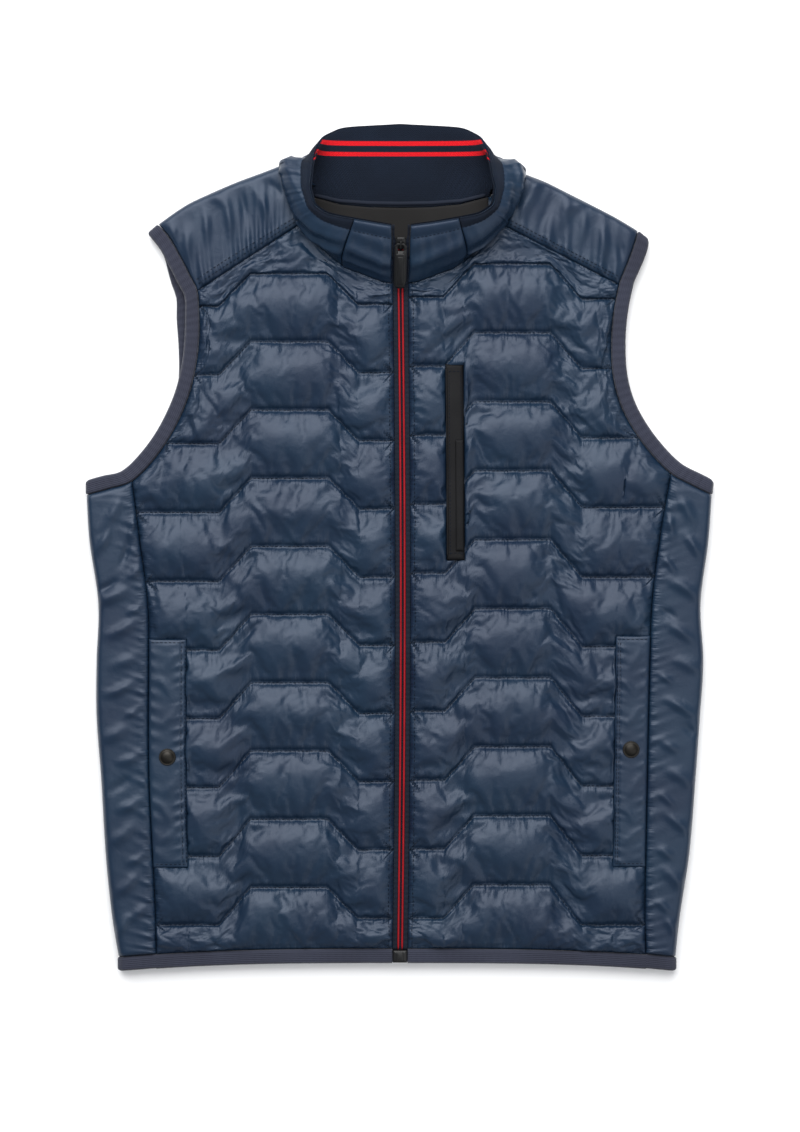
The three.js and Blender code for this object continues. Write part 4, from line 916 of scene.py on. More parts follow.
@dataclass
class FoldedPanel:
    """A plain padded panel that turns over a fold, from its front seam to its back seam."""

    name: str
    front: Callable
    back: Callable
    places: Array
    creases: Sequence[Crease]
    puff: float = 3.2
    front_steps: int = 44
    fold_steps: int = 14
    back_steps: int = 8
    fill: float = 0.5
    seam_gather: tuple[float, float, float, float] = (1.1, 9.0, 6.0, 14.0)

    def grid(self) -> tuple[Array, Array]:
        """Outer and inner faces: a flat front part, half a circle, and a flat back part."""
        down = np.linspace(1, 0, self.front_steps, endpoint=False)
        angle = np.linspace(np.pi / 2, -np.pi / 2, self.fold_steps)
        up = np.linspace(0, 1, self.back_steps + 1)[1:]
        place = self.places[:, None]
        zero, one = 0 * self.places, 0 * self.places + 1
        whole = [np.linalg.norm(plan(self.places, zero) - plan(self.places, one), axis=-1)[:, None]
                 for plan in (self.front, self.back)]
        reach = [w - SEAM_GAP / 2 for w in whole]

        def section(radius: float) -> tuple[list[Array], list[Array]]:
            fold_in = FOLD_RADIUS - radius * np.cos(angle) + 0 * place
            fold_z = FOLD_RADIUS + radius * np.sin(angle) + 0 * place
            flat = (FOLD_RADIUS + (reach[0] - FOLD_RADIUS) * down, FOLD_RADIUS + (reach[1] - FOLD_RADIUS) * up)
            depth = [flat[0], fold_in, flat[1]]
            z = [0 * flat[0] + FOLD_RADIUS + radius, fold_z, 0 * flat[1] + FOLD_RADIUS - radius]
            return depth, z

        faces = []
        for radius in (FOLD_RADIUS, FOLD_RADIUS - WALL):
            depth, z = section(radius)
            split = len(angle) // 2
            points = []
            for plan, w, d in (
                (self.front, whole[0], np.hstack([depth[0], depth[1][:, :split]])),
                (self.back, whole[1], np.hstack([depth[1][:, split:], depth[2]])),
            ):
                points.append(plan(place + 0 * d, d / w))
            faces.append(np.dstack([np.hstack(points), np.hstack(z)]))
        outer, inner = faces
        self.plain = outer.copy()
        depth = np.hstack(section(FOLD_RADIUS)[0])
        on_front = outer[..., 2] > FOLD_RADIUS
        ends = (self.places - self.places[0])[:, None], (self.places[-1] - self.places)[:, None]
        span = np.linalg.norm(np.diff(self.front(self.places, zero), axis=0), axis=1).sum()
        shut = pillow(ends[0] * span, 9) * pillow(ends[1] * span, 9) * pillow(reach[0] - depth, 9)
        toward_fold = pillow(depth, 10)
        folds = CREASE_SCALE * creased(outer[..., 0], outer[..., 1], self.creases)
        rise = self.puff * shut * toward_fold - SEAM_SINK * (1 - shut) + folds * shut * toward_fold
        size, fade, low, high = self.seam_gather
        from_seam = reach[0] - depth
        self.sewing = np.dstack([place * span + 0 * from_seam, np.maximum(from_seam, 0)])
        along = place * span + 0.35 * from_seam
        drawn = size * gathers(len(self.name) + ord(self.name[-1]), along, low, high)
        rise = rise + drawn * np.exp(-from_seam / fade) * (1 - np.exp(-np.maximum(from_seam, 0) / 1.5)) * toward_fold
        outer[..., 2] += np.where(on_front, np.clip(rise, -1.4, 9.0), 0)
        return outer, inner

    def build(self, finishes: Finishes) -> bpy.types.Object:
        """Make the panel as a closed padded wall."""
        self.outer, self.inner = self.grid()
        piece = wall_object(f"padded_{self.name}", self.outer, self.inner, finishes[SHELL])
        note_sewing(piece, self.sewing)
        return stand_for(piece, "shell", self.name)


def side_plan(side: Side) -> Callable:
    """The side panel's plan by place along its fold and share of the way in to its seam."""
    fold, seam = side.mirrored(side.fold), side.mirrored(side.seam)
    return lambda place, depth: coons(
        lambda a: through(fold, a),
        lambda a: through(seam, a),
        lambda b: side.front_seam(lerp(LAST_ROW, SIDE_END, b)),
        lambda b: lerp(fold[-1], seam[-1], b[..., None]),
        place,
        depth,
    )


def yoke_plan(side: Side, corner: Array, seam_of: Callable) -> Callable:
    """The yoke's plan on the front or the back by place along the shoulder and share to its seam."""
    fold = side.mirrored(side.shoulder)
    neck = corner * np.array([side.sign, 1.0])
    end = seam_of(np.array([float(YOKE_END)]))[0]
    return lambda place, depth: coons(
        lambda a: through(fold, a),
        lambda a: lerp(neck, end, a[..., None]),
        lambda b: lerp(fold[0], neck, b[..., None]),
        lambda b: seam_of(lerp(0, YOKE_END, b)),
        place,
        depth,
    )


@dataclass
class Back:
    """The back: flat where it rests, so only its colour, edges and inner face show."""

    columns: int = 60
    rows: int = 120
    corner: float = 0.766

    def build(self, finishes: Finishes) -> bpy.types.Object:
        """Make the back as a closed wall between its seams."""
        rows = np.unique(np.append(np.linspace(0, 1, self.rows), self.corner))
        share = np.linspace(0, 1, self.columns)
        halves = []
        for side in SIDES:
            lower = through(side.mirrored(side.seam), 1 - np.linspace(0, 1, 400))
            upper = side.back_seam(lerp(SIDE_END, YOKE_END, np.linspace(0, 1, 400)))
            edge = np.vstack([lower, upper[1:]])
            low, high = hem_seam_y(edge[:, 0]), side.top_y(np.abs(edge[:, 0]), back=True)
            at = np.maximum.accumulate(np.clip((edge[:, 1] - low) / (high - low), 0, 1))
            end = np.interp(rows, at, edge[:, 0]) - side.sign * SEAM_GAP / 2
            x = end[:, None] * share
            inside = np.clip(rows, 0.0003, 0.9997)[:, None]
            halves.append(np.dstack([x, lerp(hem_seam_y(x), side.top_y(np.abs(x), back=True), inside)]))
        plan = np.hstack([halves[0][:, :0:-1], halves[1]])
        level = np.ones(plan.shape[:2])
        outer, inner = np.dstack([plan, 0 * level]), np.dstack([plan, WALL * level])
        piece = wall_object("padded_back_panel", outer, inner, finishes[SHELL], plan)
        return stand_for(piece, "shell", "back_panel")


def tube(path: Array, radius: float, up: Array, sides: int = 8, squash: float = 1.0) -> tuple[Array, Array]:
    """A closed cord along a path: rings of an ellipse, drawn in to small ends.

    Args:
        path: (count, 3) points in millimetres.
        radius: Half its width.
        up: (count, 3) or (3,) unit vectors out of the surface it lies on.
        sides: Points in a ring.
        squash: Its height over its width.

    Returns:
        Its points and quads. Its two end rings are so small that they close it.
    """
    along = np.gradient(path, axis=0)
    along /= np.linalg.norm(along, axis=1)[:, None]
    side = np.cross(along, up)
    side /= np.linalg.norm(side, axis=1)[:, None]
    out = np.cross(side, along)
    angle = np.arange(sides) / sides * 2 * np.pi
    size = np.full(len(path), radius)
    size[[0, -1]] = radius * 0.04
    ring = side[:, None] * np.cos(angle)[:, None] + squash * out[:, None] * np.sin(angle)[:, None]
    points = path[:, None] + size[:, None, None] * ring
    at = np.arange(points.shape[0] * sides).reshape(-1, sides)
    at = np.hstack([at, at[:, :1]])
    faces = np.stack([at[:-1, :-1], at[:-1, 1:], at[1:, 1:], at[1:, :-1]], -1).reshape(-1, 4)
    points = points.reshape(-1, 3)
    if signed_volume(points, faces) < 0:
        faces = faces[:, ::-1]
    return points, faces


def joined(parts: Sequence[tuple[Array, Array]]) -> tuple[Array, Array]:
    """Points and faces of many parts as one."""
    starts = np.cumsum([0] + [len(points) for points, _ in parts[:-1]])
    return np.vstack([p for p, _ in parts]), np.vstack([f + s for (_, f), s in zip(parts, starts)])


def resampled(path: Array, step: float) -> Array:
    """Points along a path, equally far apart by about step."""
    at = np.concatenate([[0], np.cumsum(np.linalg.norm(np.diff(path, axis=0), axis=1))])
    places = np.linspace(0, at[-1], max(int(at[-1] / step), 2) + 1)
    return np.stack([np.interp(places, at, path[:, i]) for i in range(path.shape[1])], -1)


def stitches(path: Array, length: float = 2.6, gap: float = 1.0, radius: float = 0.32) -> tuple[Array, Array]:
    """Short rounded stitches along a path that lies on the cloth.

    Each is a six-sided spindle of four rings: small, full, full, small.
    """
    places = resampled(path, length + gap)
    start, end = places[:-1], lerp(places[:-1], places[1:], length / (length + gap))
    way = end - start
    way /= np.linalg.norm(way, axis=1)[:, None]
    side = np.cross(way, [0.0, 0.0, 1.0])
    up = np.cross(side, way)
    angle = np.arange(6) / 6 * 2 * np.pi
    ring = side[:, None] * np.cos(angle)[:, None] + 0.8 * up[:, None] * np.sin(angle)[:, None]
    rings = [
        lerp(start, end, share)[:, None] + radius * size * ring + np.array([0, 0, radius * lift])
        for share, size, lift in ((0.0, 0.05, -0.4), (0.2, 1.0, 0.4), (0.8, 1.0, 0.4), (1.0, 0.05, -0.4))
    ]
    points = np.stack(rings, 1)
    count = len(points)
    at = np.arange(24).reshape(4, 6)
    at = np.hstack([at, at[:, :1]])
    faces = np.stack([at[:-1, :-1], at[:-1, 1:], at[1:, 1:], at[1:, :-1]], -1).reshape(-1, 4)
    one = points[0].reshape(-1, 3)
    if signed_volume(one, faces) < 0:
        faces = faces[:, ::-1]
    every = (faces[None] + 24 * np.arange(count)[:, None, None]).reshape(-1, 4)
    return points.reshape(-1, 3), every


def solid(outline: Array, levels: Sequence[tuple[float, float]], hole: Array | None = None) -> tuple[Array, Array]:
    """A rounded slab: the outline moved in by each level's inset at its height, then closed by caps.

    Args:
        outline: (count, 2) counter-clockwise points round the origin.
        levels: Inset and height of each ring, from the bottom to the top.
        hole: (count, 2) points of a hole at the same angles, or None for caps that meet in the middle.

    Returns:
        Points and quads. Without a hole each cap ends in a ring too small to see.
    """
    around = np.roll(outline, -1, 0) - np.roll(outline, 1, 0)
    inward = np.stack([-around[:, 1], around[:, 0]], -1)
    inward /= np.linalg.norm(inward, axis=1)[:, None]
    rings = [np.column_stack([outline + inset * inward, np.full(len(outline), z)]) for inset, z in levels]
    if hole is None:
        middle = outline.mean(0)
        ends = [np.column_stack([lerp(ring[:, :2], middle, 0.995), ring[:, 2]]) for ring in (rings[0], rings[-1])]
    else:
        ends = [np.column_stack([hole, ring[:, 2]]) for ring in (rings[0], rings[-1])]
    rings = [ends[0], *rings, ends[1]]
    points = np.stack(rings)
    if hole is not None:
        points = np.concatenate([points, points[:1]])
    at = np.arange(len(rings) * len(outline)).reshape(len(rings), -1)
    if hole is not None:
        at = np.vstack([at, at[:1]])
        points = points[:-1]
    at = np.hstack([at, at[:, :1]])
    faces = np.stack([at[:-1, :-1], at[:-1, 1:], at[1:, 1:], at[1:, :-1]], -1).reshape(-1, 4)
    points = points.reshape(-1, 3)
    if signed_volume(points, faces) < 0:
        faces = faces[:, ::-1]
    return points, faces


def by_angle(outline: Array, centre: tuple[float, float], count: int) -> Array:
    """Points of a closed outline at equal angles round a centre that sees all of it."""
    closed = resampled(np.vstack([outline, outline[:1]]), 0.2) - np.array(centre)
    turn = np.unwrap(np.arctan2(closed[:, 1], closed[:, 0]))
    wanted = turn[0] + np.arange(count) / count * 2 * np.pi
    return np.stack([np.interp(wanted, turn, closed[:, i]) for i in (0, 1)], -1) + np.array(centre)


@dataclass
class Binding:
    """A folded elastic binding along an edge: wide, flat and rounded at both of its edges."""

    name: str
    outer: Array
    inner: Array
    away: Array
    ring: bool
    swell: float = 0.7
    columns: int = 13

    def build(self, finishes: Finishes) -> bpy.types.Object:
        """Make the binding from its edge's points and the vectors from its seam to its free edge."""
        share = np.linspace(0, 1, self.columns)
        inward = self.inner - self.outer
        inward /= np.linalg.norm(inward, axis=1)[:, None]
        seam = self.outer.copy()
        seam[:, :2] += SEAM_GAP * self.away / np.linalg.norm(self.away, axis=1)[:, None]
        step = np.column_stack([self.away, np.zeros(len(self.away))])
        base = seam[:, None] + step[:, None] * share[:, None]
        round_off = pillow(share * BINDING_WIDTH, 2.2) * pillow((1 - share) * BINDING_WIDTH, 2.6)
        gather = np.random.default_rng(5).normal(0, 0.12, len(seam))
        gather = np.convolve(gather, [0.25, 0.5, 0.25], "same")[:, None]
        height = (self.swell + gather) * round_off - 1.5 * (1 - round_off)
        resting = (self.outer[:, 2] < 0.5)[:, None]
        height = np.where(resting, np.minimum(height, 0) * 0.6, height)
        inside = BINDING_WALL - 1.3 * (1 - round_off)
        outer = base - inward[:, None] * height[..., None]
        inner = base + inward[:, None] * inside[:, None]
        outer[..., 2] = np.maximum(outer[..., 2], 0)
        piece = wall_object(f"folded_{self.name}", outer, inner, finishes[RIB], None, self.ring)
        length = np.linalg.norm(np.diff(self.outer, axis=0), axis=1).sum()
        cut_of(BINDING_WIDTH, length)
        return stand_for(piece, "binding", self.name)


def armhole_edge(side: Side, flank: FoldedPanel, yoke: FoldedPanel) -> tuple[Array, Array]:
    """Outer and inner points round an armhole: up the front, over the shoulder, down the back, round the side."""
    up = lerp(SIDE_END, YOKE_END, np.linspace(0, 1, 110))
    front, back = side.front_seam(up), side.back_seam(up[::-1])

    def level(plan: Array, z: float) -> Array:
        return np.column_stack([plan, np.full(len(plan), z)])

    outer = [level(front, SEAM_TOP), yoke.plain[-1], level(back, 0), flank.plain[0][::-1]]
    inner = [level(front, FRONT_INSIDE), yoke.inner[-1], level(back, WALL), flank.inner[0][::-1]]
    return np.vstack(outer), np.vstack(inner)


def hem_edge(flanks: dict[str, FoldedPanel]) -> tuple[Array, Array]:
    """Outer and inner points along the hem, from the right of the zip round the back to its left."""
    right, left = SIDES

    def run(start: float, end: float, z: float) -> Array:
        x = np.linspace(start, end, 120)
        return np.column_stack([x, hem_seam_y(x), np.full(len(x), z)])

    turns = [flanks[side.name].plain[-1] for side in (right, left)]
    insides = [flanks[side.name].inner[-1] for side in (right, left)]
    ends = [turn[0, 0] - side.sign * SEAM_GAP for turn, side in zip(turns, (right, left))]
    low = [turn[-1, 0] - side.sign * SEAM_GAP for turn, side in zip(turns, (right, left))]
    outer = [run(-ZIP_HALF_GAP, ends[0], SEAM_TOP), turns[0], run(low[0], low[1], 0), turns[1][::-1],
             run(ends[1], ZIP_HALF_GAP, SEAM_TOP)]
    inner = [run(-ZIP_HALF_GAP, ends[0], FRONT_INSIDE), insides[0], run(low[0], low[1], WALL), insides[1][::-1],
             run(ends[1], ZIP_HALF_GAP, FRONT_INSIDE)]
    return np.vstack(outer), np.vstack(inner)


@dataclass
class Collar:
    """The stand collar: a padded shell in three pieces with a stitched roll on top, and a knit lining."""

    yokes: dict[str, FoldedPanel]
    heights: int = 44
    groove: float = 0.8
    puff: float = 2.5
    roll: float = 1.1
    drag: float = 0.75
    seams: tuple[float, float] = (48.5, 54.0)

    def __post_init__(self) -> None:
        """Lay out both halves and join them at the nape."""
        halves = [self.half(side) for side in SIDES]
        inner = [np.vstack([halves[0][i], halves[1][i][-2::-1]]) for i in range(3)]
        self.foot, self.wall, self.top = inner
        bows = np.vstack([halves[0][3], halves[1][3][-2::-1]])
        share = np.linspace(0, 1, self.heights)
        swell = np.sin(np.pi * share) ** 2
        middle = (self.foot + self.top) / 2
        way = middle[:, :2] - np.array([0, NECK_MIDDLE_Y])
        way /= np.linalg.norm(way, axis=1)[:, None]
        bow = np.column_stack([way * bows[:, :1], bows[:, 1]])
        self.inside = self.foot[:, None] + (self.top - self.foot)[:, None] * share[:, None]
        self.inside += bow[:, None] * swell[:, None]
        square = np.cross(np.gradient(self.inside, axis=1), np.gradient(self.inside, axis=0))
        square /= np.linalg.norm(square, axis=2)[..., None]
        blend = np.clip(share / 0.3, 0, 1)[:, None]
        out = lerp(self.wall[:, None], square, blend)
        self.out = out / np.linalg.norm(out, axis=2)[..., None]
        self.share = share
        self.last = len(self.foot) - 1

    def half(self, side: Side) -> tuple[Array, Array, Array, Array]:
        """Foot, wall direction, top and bow of the inner face from the zip to the nape on one side."""
        front_x = np.linspace(ZIP_HALF_GAP, NECK_FRONT[-1, 0], 44)
        front = np.column_stack([side.sign * front_x, side.top_y(front_x), np.full(44, SEAM_TOP)])
        turn, turn_in = self.yokes[side.name].plain[0], self.yokes[side.name].inner[0]
        back_x = np.linspace(NECK_BACK[-1, 0], 0, 40)
        back = np.column_stack([side.sign * back_x, side.top_y(back_x, True), np.zeros(40)])
        outer = np.vstack([front, turn, back])
        inner = np.vstack([front - [0, 0, WALL], turn_in, back + [0, 0, WALL]])
        fold = 44 + int((turn[:, 2] >= FOLD_RADIUS).sum())
        tangent = np.gradient(outer[:, :2], axis=0)
        tangent[44:fold] = outer[fold - 1, :2] - outer[44, :2]
        tangent[fold:44 + len(turn)] = outer[44 + len(turn) - 1, :2] - outer[fold, :2]
        away = np.stack([tangent[:, 1], -tangent[:, 0]], -1)
        away /= np.linalg.norm(away, axis=1)[:, None]
        inwards = np.array([0, NECK_MIDDLE_Y]) - outer[:, :2]
        away *= np.sign((away * inwards).sum(1))[:, None]
        reach = np.full(len(outer), SEAM_GAP)
        reach[44:44 + len(turn)] = YOKE_CLEAR
        at = np.concatenate([[0], np.cumsum(np.linalg.norm(np.diff(outer, axis=0), axis=1))])
        marks = at[[0, 43, fold, 44 + len(turn), len(outer) - 1]]
        ring = np.interp(at, marks, [0, RING_CORNER, RING_SHOULDER, RING_NAPE_CORNER, 1])
        table = [np.interp(ring, COLLAR_TOP[:, 0], COLLAR_TOP[:, i]) for i in range(1, 7)]
        spread = np.exp(-np.linspace(-2, 2, 13) ** 2)
        ends = [np.convolve(np.pad(column, 6, "reflect", reflect_type="odd"), spread / spread.sum(), "valid")
                for column in table]
        top = np.column_stack([side.sign * ends[0 if side.sign < 0 else 1], ends[2], ends[3]])
        foot = inner + np.column_stack([away * reach[:, None], np.zeros(len(outer))])
        wall = outer - inner
        return foot, wall / np.linalg.norm(wall, axis=1)[:, None], top, np.column_stack([ends[4], ends[5]])

    def layer(self, low: int, high: int, near: float, far: float, swell: Array) -> tuple[Array, Array]:
        """Outer and inner faces of a layer between two depths, for some rows round the neck."""
        rows = slice(low, high + 1)
        top_in = 0.55 * (far - near) * (1 - pillow((1 - self.share) * 60, 4))
        depth = far + swell - top_in
        outer = self.inside[rows] + self.out[rows] * depth[..., None]
        inner = self.inside[rows] + self.out[rows] * (near + top_in)[..., None]
        for face in (outer, inner):
            face[0] = lerp(face[0], face[1], 0.2)
            face[-1] = lerp(face[-1], face[-2], 0.2)
            face[..., 2] = np.maximum(face[..., 2], 0)
        return outer, inner

    def turn_over(self, piece: bpy.types.Object, knit: bpy.types.Material) -> None:
        """Dress the roll above the stitched line as the knit, which turns over the collar's edge there."""
        piece.data.materials.append(knit)
        spans = self.heights - 1
        slots = np.zeros(len(piece.data.polygons), np.int32)
        outside = (len(slots) - 2 * spans) // (2 * spans + 2) * spans
        slots[:outside].reshape(-1, spans)[:, int(self.groove * spans):] = 1
        piece.data.polygons.foreach_set("material_index", slots)

    def build(self, finishes: Finishes) -> None:
        """Make the three shell pieces, their stitching and the knit."""
        seam = [int(np.argmax(np.abs(self.foot[:120, 0]) >= self.seams[0]))]
        seam.append(self.last - int(np.argmax(np.abs(self.foot[::-1][:120, 0]) >= self.seams[1])))
        low = np.sin(np.pi * np.clip(self.share / self.groove, 0, 1)) ** 0.6
        high = np.sin(np.pi * np.clip((self.share - self.groove) / (1 - self.groove), 0, 1)) ** 0.6
        random = np.random.default_rng(23)
        runs = [("collar_front_right", 0, seam[0]), ("collar_back", seam[0], seam[1]),
                ("collar_front_left", seam[1], self.last)]
        depths = COLLAR_KNIT + SEAM_GAP, COLLAR_KNIT + SEAM_GAP + COLLAR_SHELL
        threads = []
        for name, start, end in runs:
            count = end - start + 1
            at = np.linspace(0, 1, count) * np.linalg.norm(np.diff(self.foot[start:end + 1], axis=0), axis=1).sum()
            shut = pillow(at, 7) * pillow(at[-1] - at, 7)
            gather = sum(
                random.uniform(0.25, 0.5) * np.sin(2 * np.pi * (at / wave + random.uniform()))
                for wave in random.uniform(7, 22, 7)
            )
            folds = 1.7 * gather[:, None] * (low * (0.4 + 0.6 * np.cos(np.pi * self.share) ** 2))
            swell = (self.puff * low + self.roll * high) * (0.35 + 0.65 * shut[:, None]) + 0.5 * folds * shut[:, None]
            climb = self.share * np.linalg.norm(self.top[start] - self.foot[start])
            slant = climb + 0.16 * (at[:, None] if start else at[-1] - at[:, None])
            swell = swell + self.drag * gathers(61 + start, slant, 9, 21) * low * shut[:, None]
            outer, inner = self.layer(start, end, *depths, swell)
            piece = wall_object(f"padded_{name}", outer, inner, finishes[SHELL], lengths(outer)[..., ::-1])
            if name == "collar_back":
                self.turn_over(piece, finishes[KNIT])
            stand_for(piece, "shell", name)
            line = outer[1:-1, int(self.groove * (self.heights - 1))]
            threads.append(stitches(line, 2.4, 1.0))
        stitching = make_object("stitching_collar", *joined(threads), finishes[THREAD_WITH_PAINTED_SHADE])
        stand_for(stitching, "shell")
        outer, inner = self.layer(0, self.last, 0.0, COLLAR_KNIT, np.zeros((self.last + 1, 1)))
        fall = np.linalg.norm(np.diff(inner, axis=1), axis=2)
        below = np.column_stack([np.zeros(len(inner)), np.cumsum(fall, axis=1)])
        below = below - below[:, -1:]
        along = np.concatenate([[0], np.cumsum(np.linalg.norm(np.diff(inner[:, -1], axis=0), axis=1))])
        nape = ramp(inner[:, -1:, 1], 325, 340)
        straight = inner[..., 1] - inner[self.last // 2, -1, 1]
        uv = np.dstack([along[:, None] + 0 * below, lerp(below, straight, nape)])
        knit = wall_object("brushed_collar_knit", outer, inner, finishes[KNIT], uv)
        cut_of(-below[:, 0].mean(), along[-1])
        stand_for(knit, "collar_knit", "collar_knit")
        nape = inner[np.abs(inner[:, 0, 0]) < NECK_BACK[-1, 0] - 4]
        nape = nape[nape[:, 0, 1] > NECK_BACK[0, 1] - 20][:, 2]
        taping = tube(nape, 1.7, np.array([0, 0, 1.0]), 10, 0.6)
        stand_for(make_object("taping_neck_seam", *taping, finishes[NECK_TAPE]), "collar_knit")


@dataclass
class NeckLining:
    """The strip of lining that shows inside the neck, over the back."""

    half_width: float = 76.0
    low: float = 250.0
    high: float = 292.6
    base: float = WALL + SEAM_GAP
    thick: float = 1.0

    def build(self, finishes: Finishes) -> None:
        """Make it as a thin closed wall with two soft ripples."""
        x = np.linspace(-self.half_width, self.half_width, 90)
        top = self.high + SIDES[0].top_y(np.abs(x), back=True) - NECK_BACK[0, 1]
        y = lerp(self.low, top, np.linspace(0, 1, 24)[:, None])
        ripple = 0.35 + 0.35 * np.sin(x / 9 + y / 14)
        grid = np.dstack([x + 0 * y, y, self.base + self.thick + ripple])
        under = np.dstack([x + 0 * y, y, self.base + 0 * y])
        piece = wall_object("woven_neck_lining", grid, under, finishes[LINING])
        cut_of(2 * self.half_width, self.high - self.low)
        stand_for(piece, "lining", "neck_lining")


@dataclass
class Zip:
    """The zip: two tapes, the coil under its two red covers, the slider, the pull and the bottom box."""

    collar: Collar
    tape_from: float = 9.2
    tape_to: float = 10.2
    parted_edge: float = 3.0
    chain_half: float = 2.3
    chain_from: float = 8.6
    chain_to: float = 11.2
    box: tuple[float, float, float, float] = (12.0, 10.5, 8.6, 13.4)
    slider_height: float = 0.72

    def __post_init__(self) -> None:
        """Lay out the opening: its two edges from the box up the body and up the collar."""
        collar = self.collar
        y = np.linspace(ZIP_BOTTOM + self.box[1] + SEAM_GAP, NECK_FRONT[0, 1], 170)
        body = [np.column_stack([zip_middle(y) + sign * ZIP_HALF_GAP, y, np.full(len(y), SEAM_TOP)]) for sign in (-1, 1)]
        depth = COLLAR_KNIT + SEAM_GAP + COLLAR_SHELL
        up = [collar.inside[row, 2:] + collar.out[row, 2:] * depth for row in (0, collar.last)]
        self.height = np.concatenate([np.zeros(len(y)), collar.share[2:]])
        right, left = (np.vstack([body[i], up[i]]) for i in (0, 1))
        self.middle = (right + left) / 2
        across = left - right
        self.half = np.linalg.norm(across, axis=1) / 2
        self.side = across / np.linalg.norm(across, axis=1)[:, None]
        smooth = np.stack([np.convolve(np.pad(self.middle[:, i], 3, "reflect", reflect_type="odd"),
                                       np.ones(7) / 7, "valid") for i in range(3)], -1)
        along = np.gradient(smooth, axis=0)
        self.along = along / np.linalg.norm(along, axis=1)[:, None]
        self.up = np.cross(self.side, self.along)

    def point(self, across: Array, height: Array) -> Array:
        """Points of the zip at distances across it and heights, which are SEAM_TOP level with its edges."""
        side, up = self.side[:, None] * across[..., None], self.up[:, None] * (height - SEAM_TOP)[..., None]
        return self.middle[:, None] + side + up

    def build(self, finishes: Finishes) -> None:
        """Make every piece of the zip."""
        share = np.linspace(0, 1, 7)
        level = 0 * self.height[:, None]
        for sign, name in ((-1, "right"), (1, "left")):
            parted = self.parted_edge * ramp(self.height, self.slider_height - 0.06, self.slider_height + 0.1)
            near = self.chain_half + SEAM_GAP + parted
            across = sign * lerp(near[:, None], (self.half - SEAM_GAP)[:, None], share)
            outer = self.point(across, level + self.tape_to)
            inner = self.point(across, level + self.tape_from)
            tape = wall_object(f"woven_zip_tape_{name}", outer, inner, finishes[TAPE])
            length = float(np.linalg.norm(np.diff(self.middle, axis=0), axis=1).sum())
            cut_of((self.half - SEAM_GAP - near).mean(), length)
            stand_for(tape, "zip_tape", f"zip_tape_{name}")
        closed = self.height <= self.slider_height
        across = np.linspace(-self.chain_half, self.chain_half, 5) + 0 * self.height[:, None]
        base = self.point(across, level + self.chain_from + 1.3)[closed]
        under = self.point(across, level + self.chain_from)[closed]
        chain = wall_object("coil_bed", base, under, finishes[TAPE])
        stand_for(chain, "zip_chain", "zip_chain")
        covers = []
        for offset in (-1.65, 1.65):
            line = self.point(offset + level, level + self.chain_to - 0.9)[closed, 0]
            covers.append(tube(line, 0.85, self.up[closed], 10))
        stand_for(make_object("coil_covers", *joined(covers), finishes[RED_CORD]), "zip_chain")
        centre = self.point(level, level + self.chain_to - 1.25)[closed, 0]
        stand_for(make_object("coil_teeth", *stitches(centre, 1.0, 0.45, 0.62), finishes[TAPE]), "zip_chain")
        self.build_fittings(finishes)

    def slider_place(self) -> tuple[Array, Array]:
        """Origin and basis of the slider: x across the zip, y along it, z out of it."""
        at = int(np.argmax(self.height >= self.slider_height))
        place = self.middle[at] + self.up[at] * (self.chain_to - SEAM_TOP)
        up = np.cross(self.side[at], self.along[at])
        return place, np.stack([np.cross(self.along[at], up), self.along[at], up])

    def build_fittings(self, finishes: Finishes) -> None:
        """Make the slider with its bail, the pull with its grip, and the box."""
        place, basis = self.slider_place()

        def set_down(parts: Sequence[tuple[Array, Array]], name: str) -> bpy.types.Object:
            points, faces = joined(parts)
            return make_object(name, place + points @ basis, faces, finishes[TRIM])

        corners = np.array([(-3.2, -5.5), (3.2, -5.5), (4.5, 0), (4.5, 3.5), (3.2, 5.5), (-3.2, 5.5), (-4.5, 3.5),
                            (-4.5, 0)])
        plate = by_angle(corners, (0.0, 0.0), 48)
        arch = np.array([(0, -3.4, 2.2), (0, -3.35, 4.4), (0, -3.0, 5.9), (0, -2.2, 6.75), (0, 0, 6.95), (0, 2.2, 6.75),
                         (0, 3.0, 5.9), (0, 3.35, 4.4), (0, 3.4, 2.2)])
        bail = tube(resampled(arch, 0.5), 1.15, np.array([1.0, 0.0, 0.0]), 10, 0.55)
        bail = (bail[0], bail[1])
        slider = set_down([solid(plate, [(0.8, 0.3), (0.1, 0.7), (0, 1.5), (0.3, 2.3), (1.0, 2.7)]), bail], "cast_slider")
        stand_for(slider, "zip_fittings", "zip_slider")
        pivot = 2.7 + 1.65
        width, top, bottom, corner = 5.25, 0.9, -40.1, 2.2
        outline = np.array([(-width, bottom + corner), (-width + corner, bottom), (width - corner, bottom),
                            (width, bottom + corner), (width, top - corner), (width - corner, top),
                            (-width + corner, top), (-width, top - corner)])
        slot = np.array([(-2.3, -5.9), (2.3, -5.9), (2.3, -0.9), (-2.3, -0.9)])
        rim, hole = by_angle(outline, (0, -3.4), 96), by_angle(slot, (0, -3.4), 96)
        tab = solid(rim, [(0.35, pivot - 0.8), (0, pivot - 0.5), (0, pivot + 0.5), (0.35, pivot + 0.8)], hole)
        middle = np.array([0, -23.6])
        grip = np.array([(-4.4, -37.6), (-3.6, -39.0), (3.6, -39.0), (4.4, -37.6), (4.4, -9.4), (3.6, -8.2),
                         (-3.6, -8.2), (-4.4, -9.4)])
        grip = by_angle(grip - middle, (0.0, 0.0), 96) + middle
        cover = solid(grip, [(0.2, pivot + 0.5), (0, pivot + 0.9), (0.25, pivot + 1.3), (0.9, pivot + 1.5)])
        panel = (grip - middle) * [0.62, 0.82] + middle
        inset = solid(panel, [(0, pivot + 1.3), (0.1, pivot + 1.7), (0.5, pivot + 1.85)])
        stand_for(set_down([tab, cover, inset], "zip_pull_tab"), "zip_fittings", "zip_pull", body=PULL_BODY)
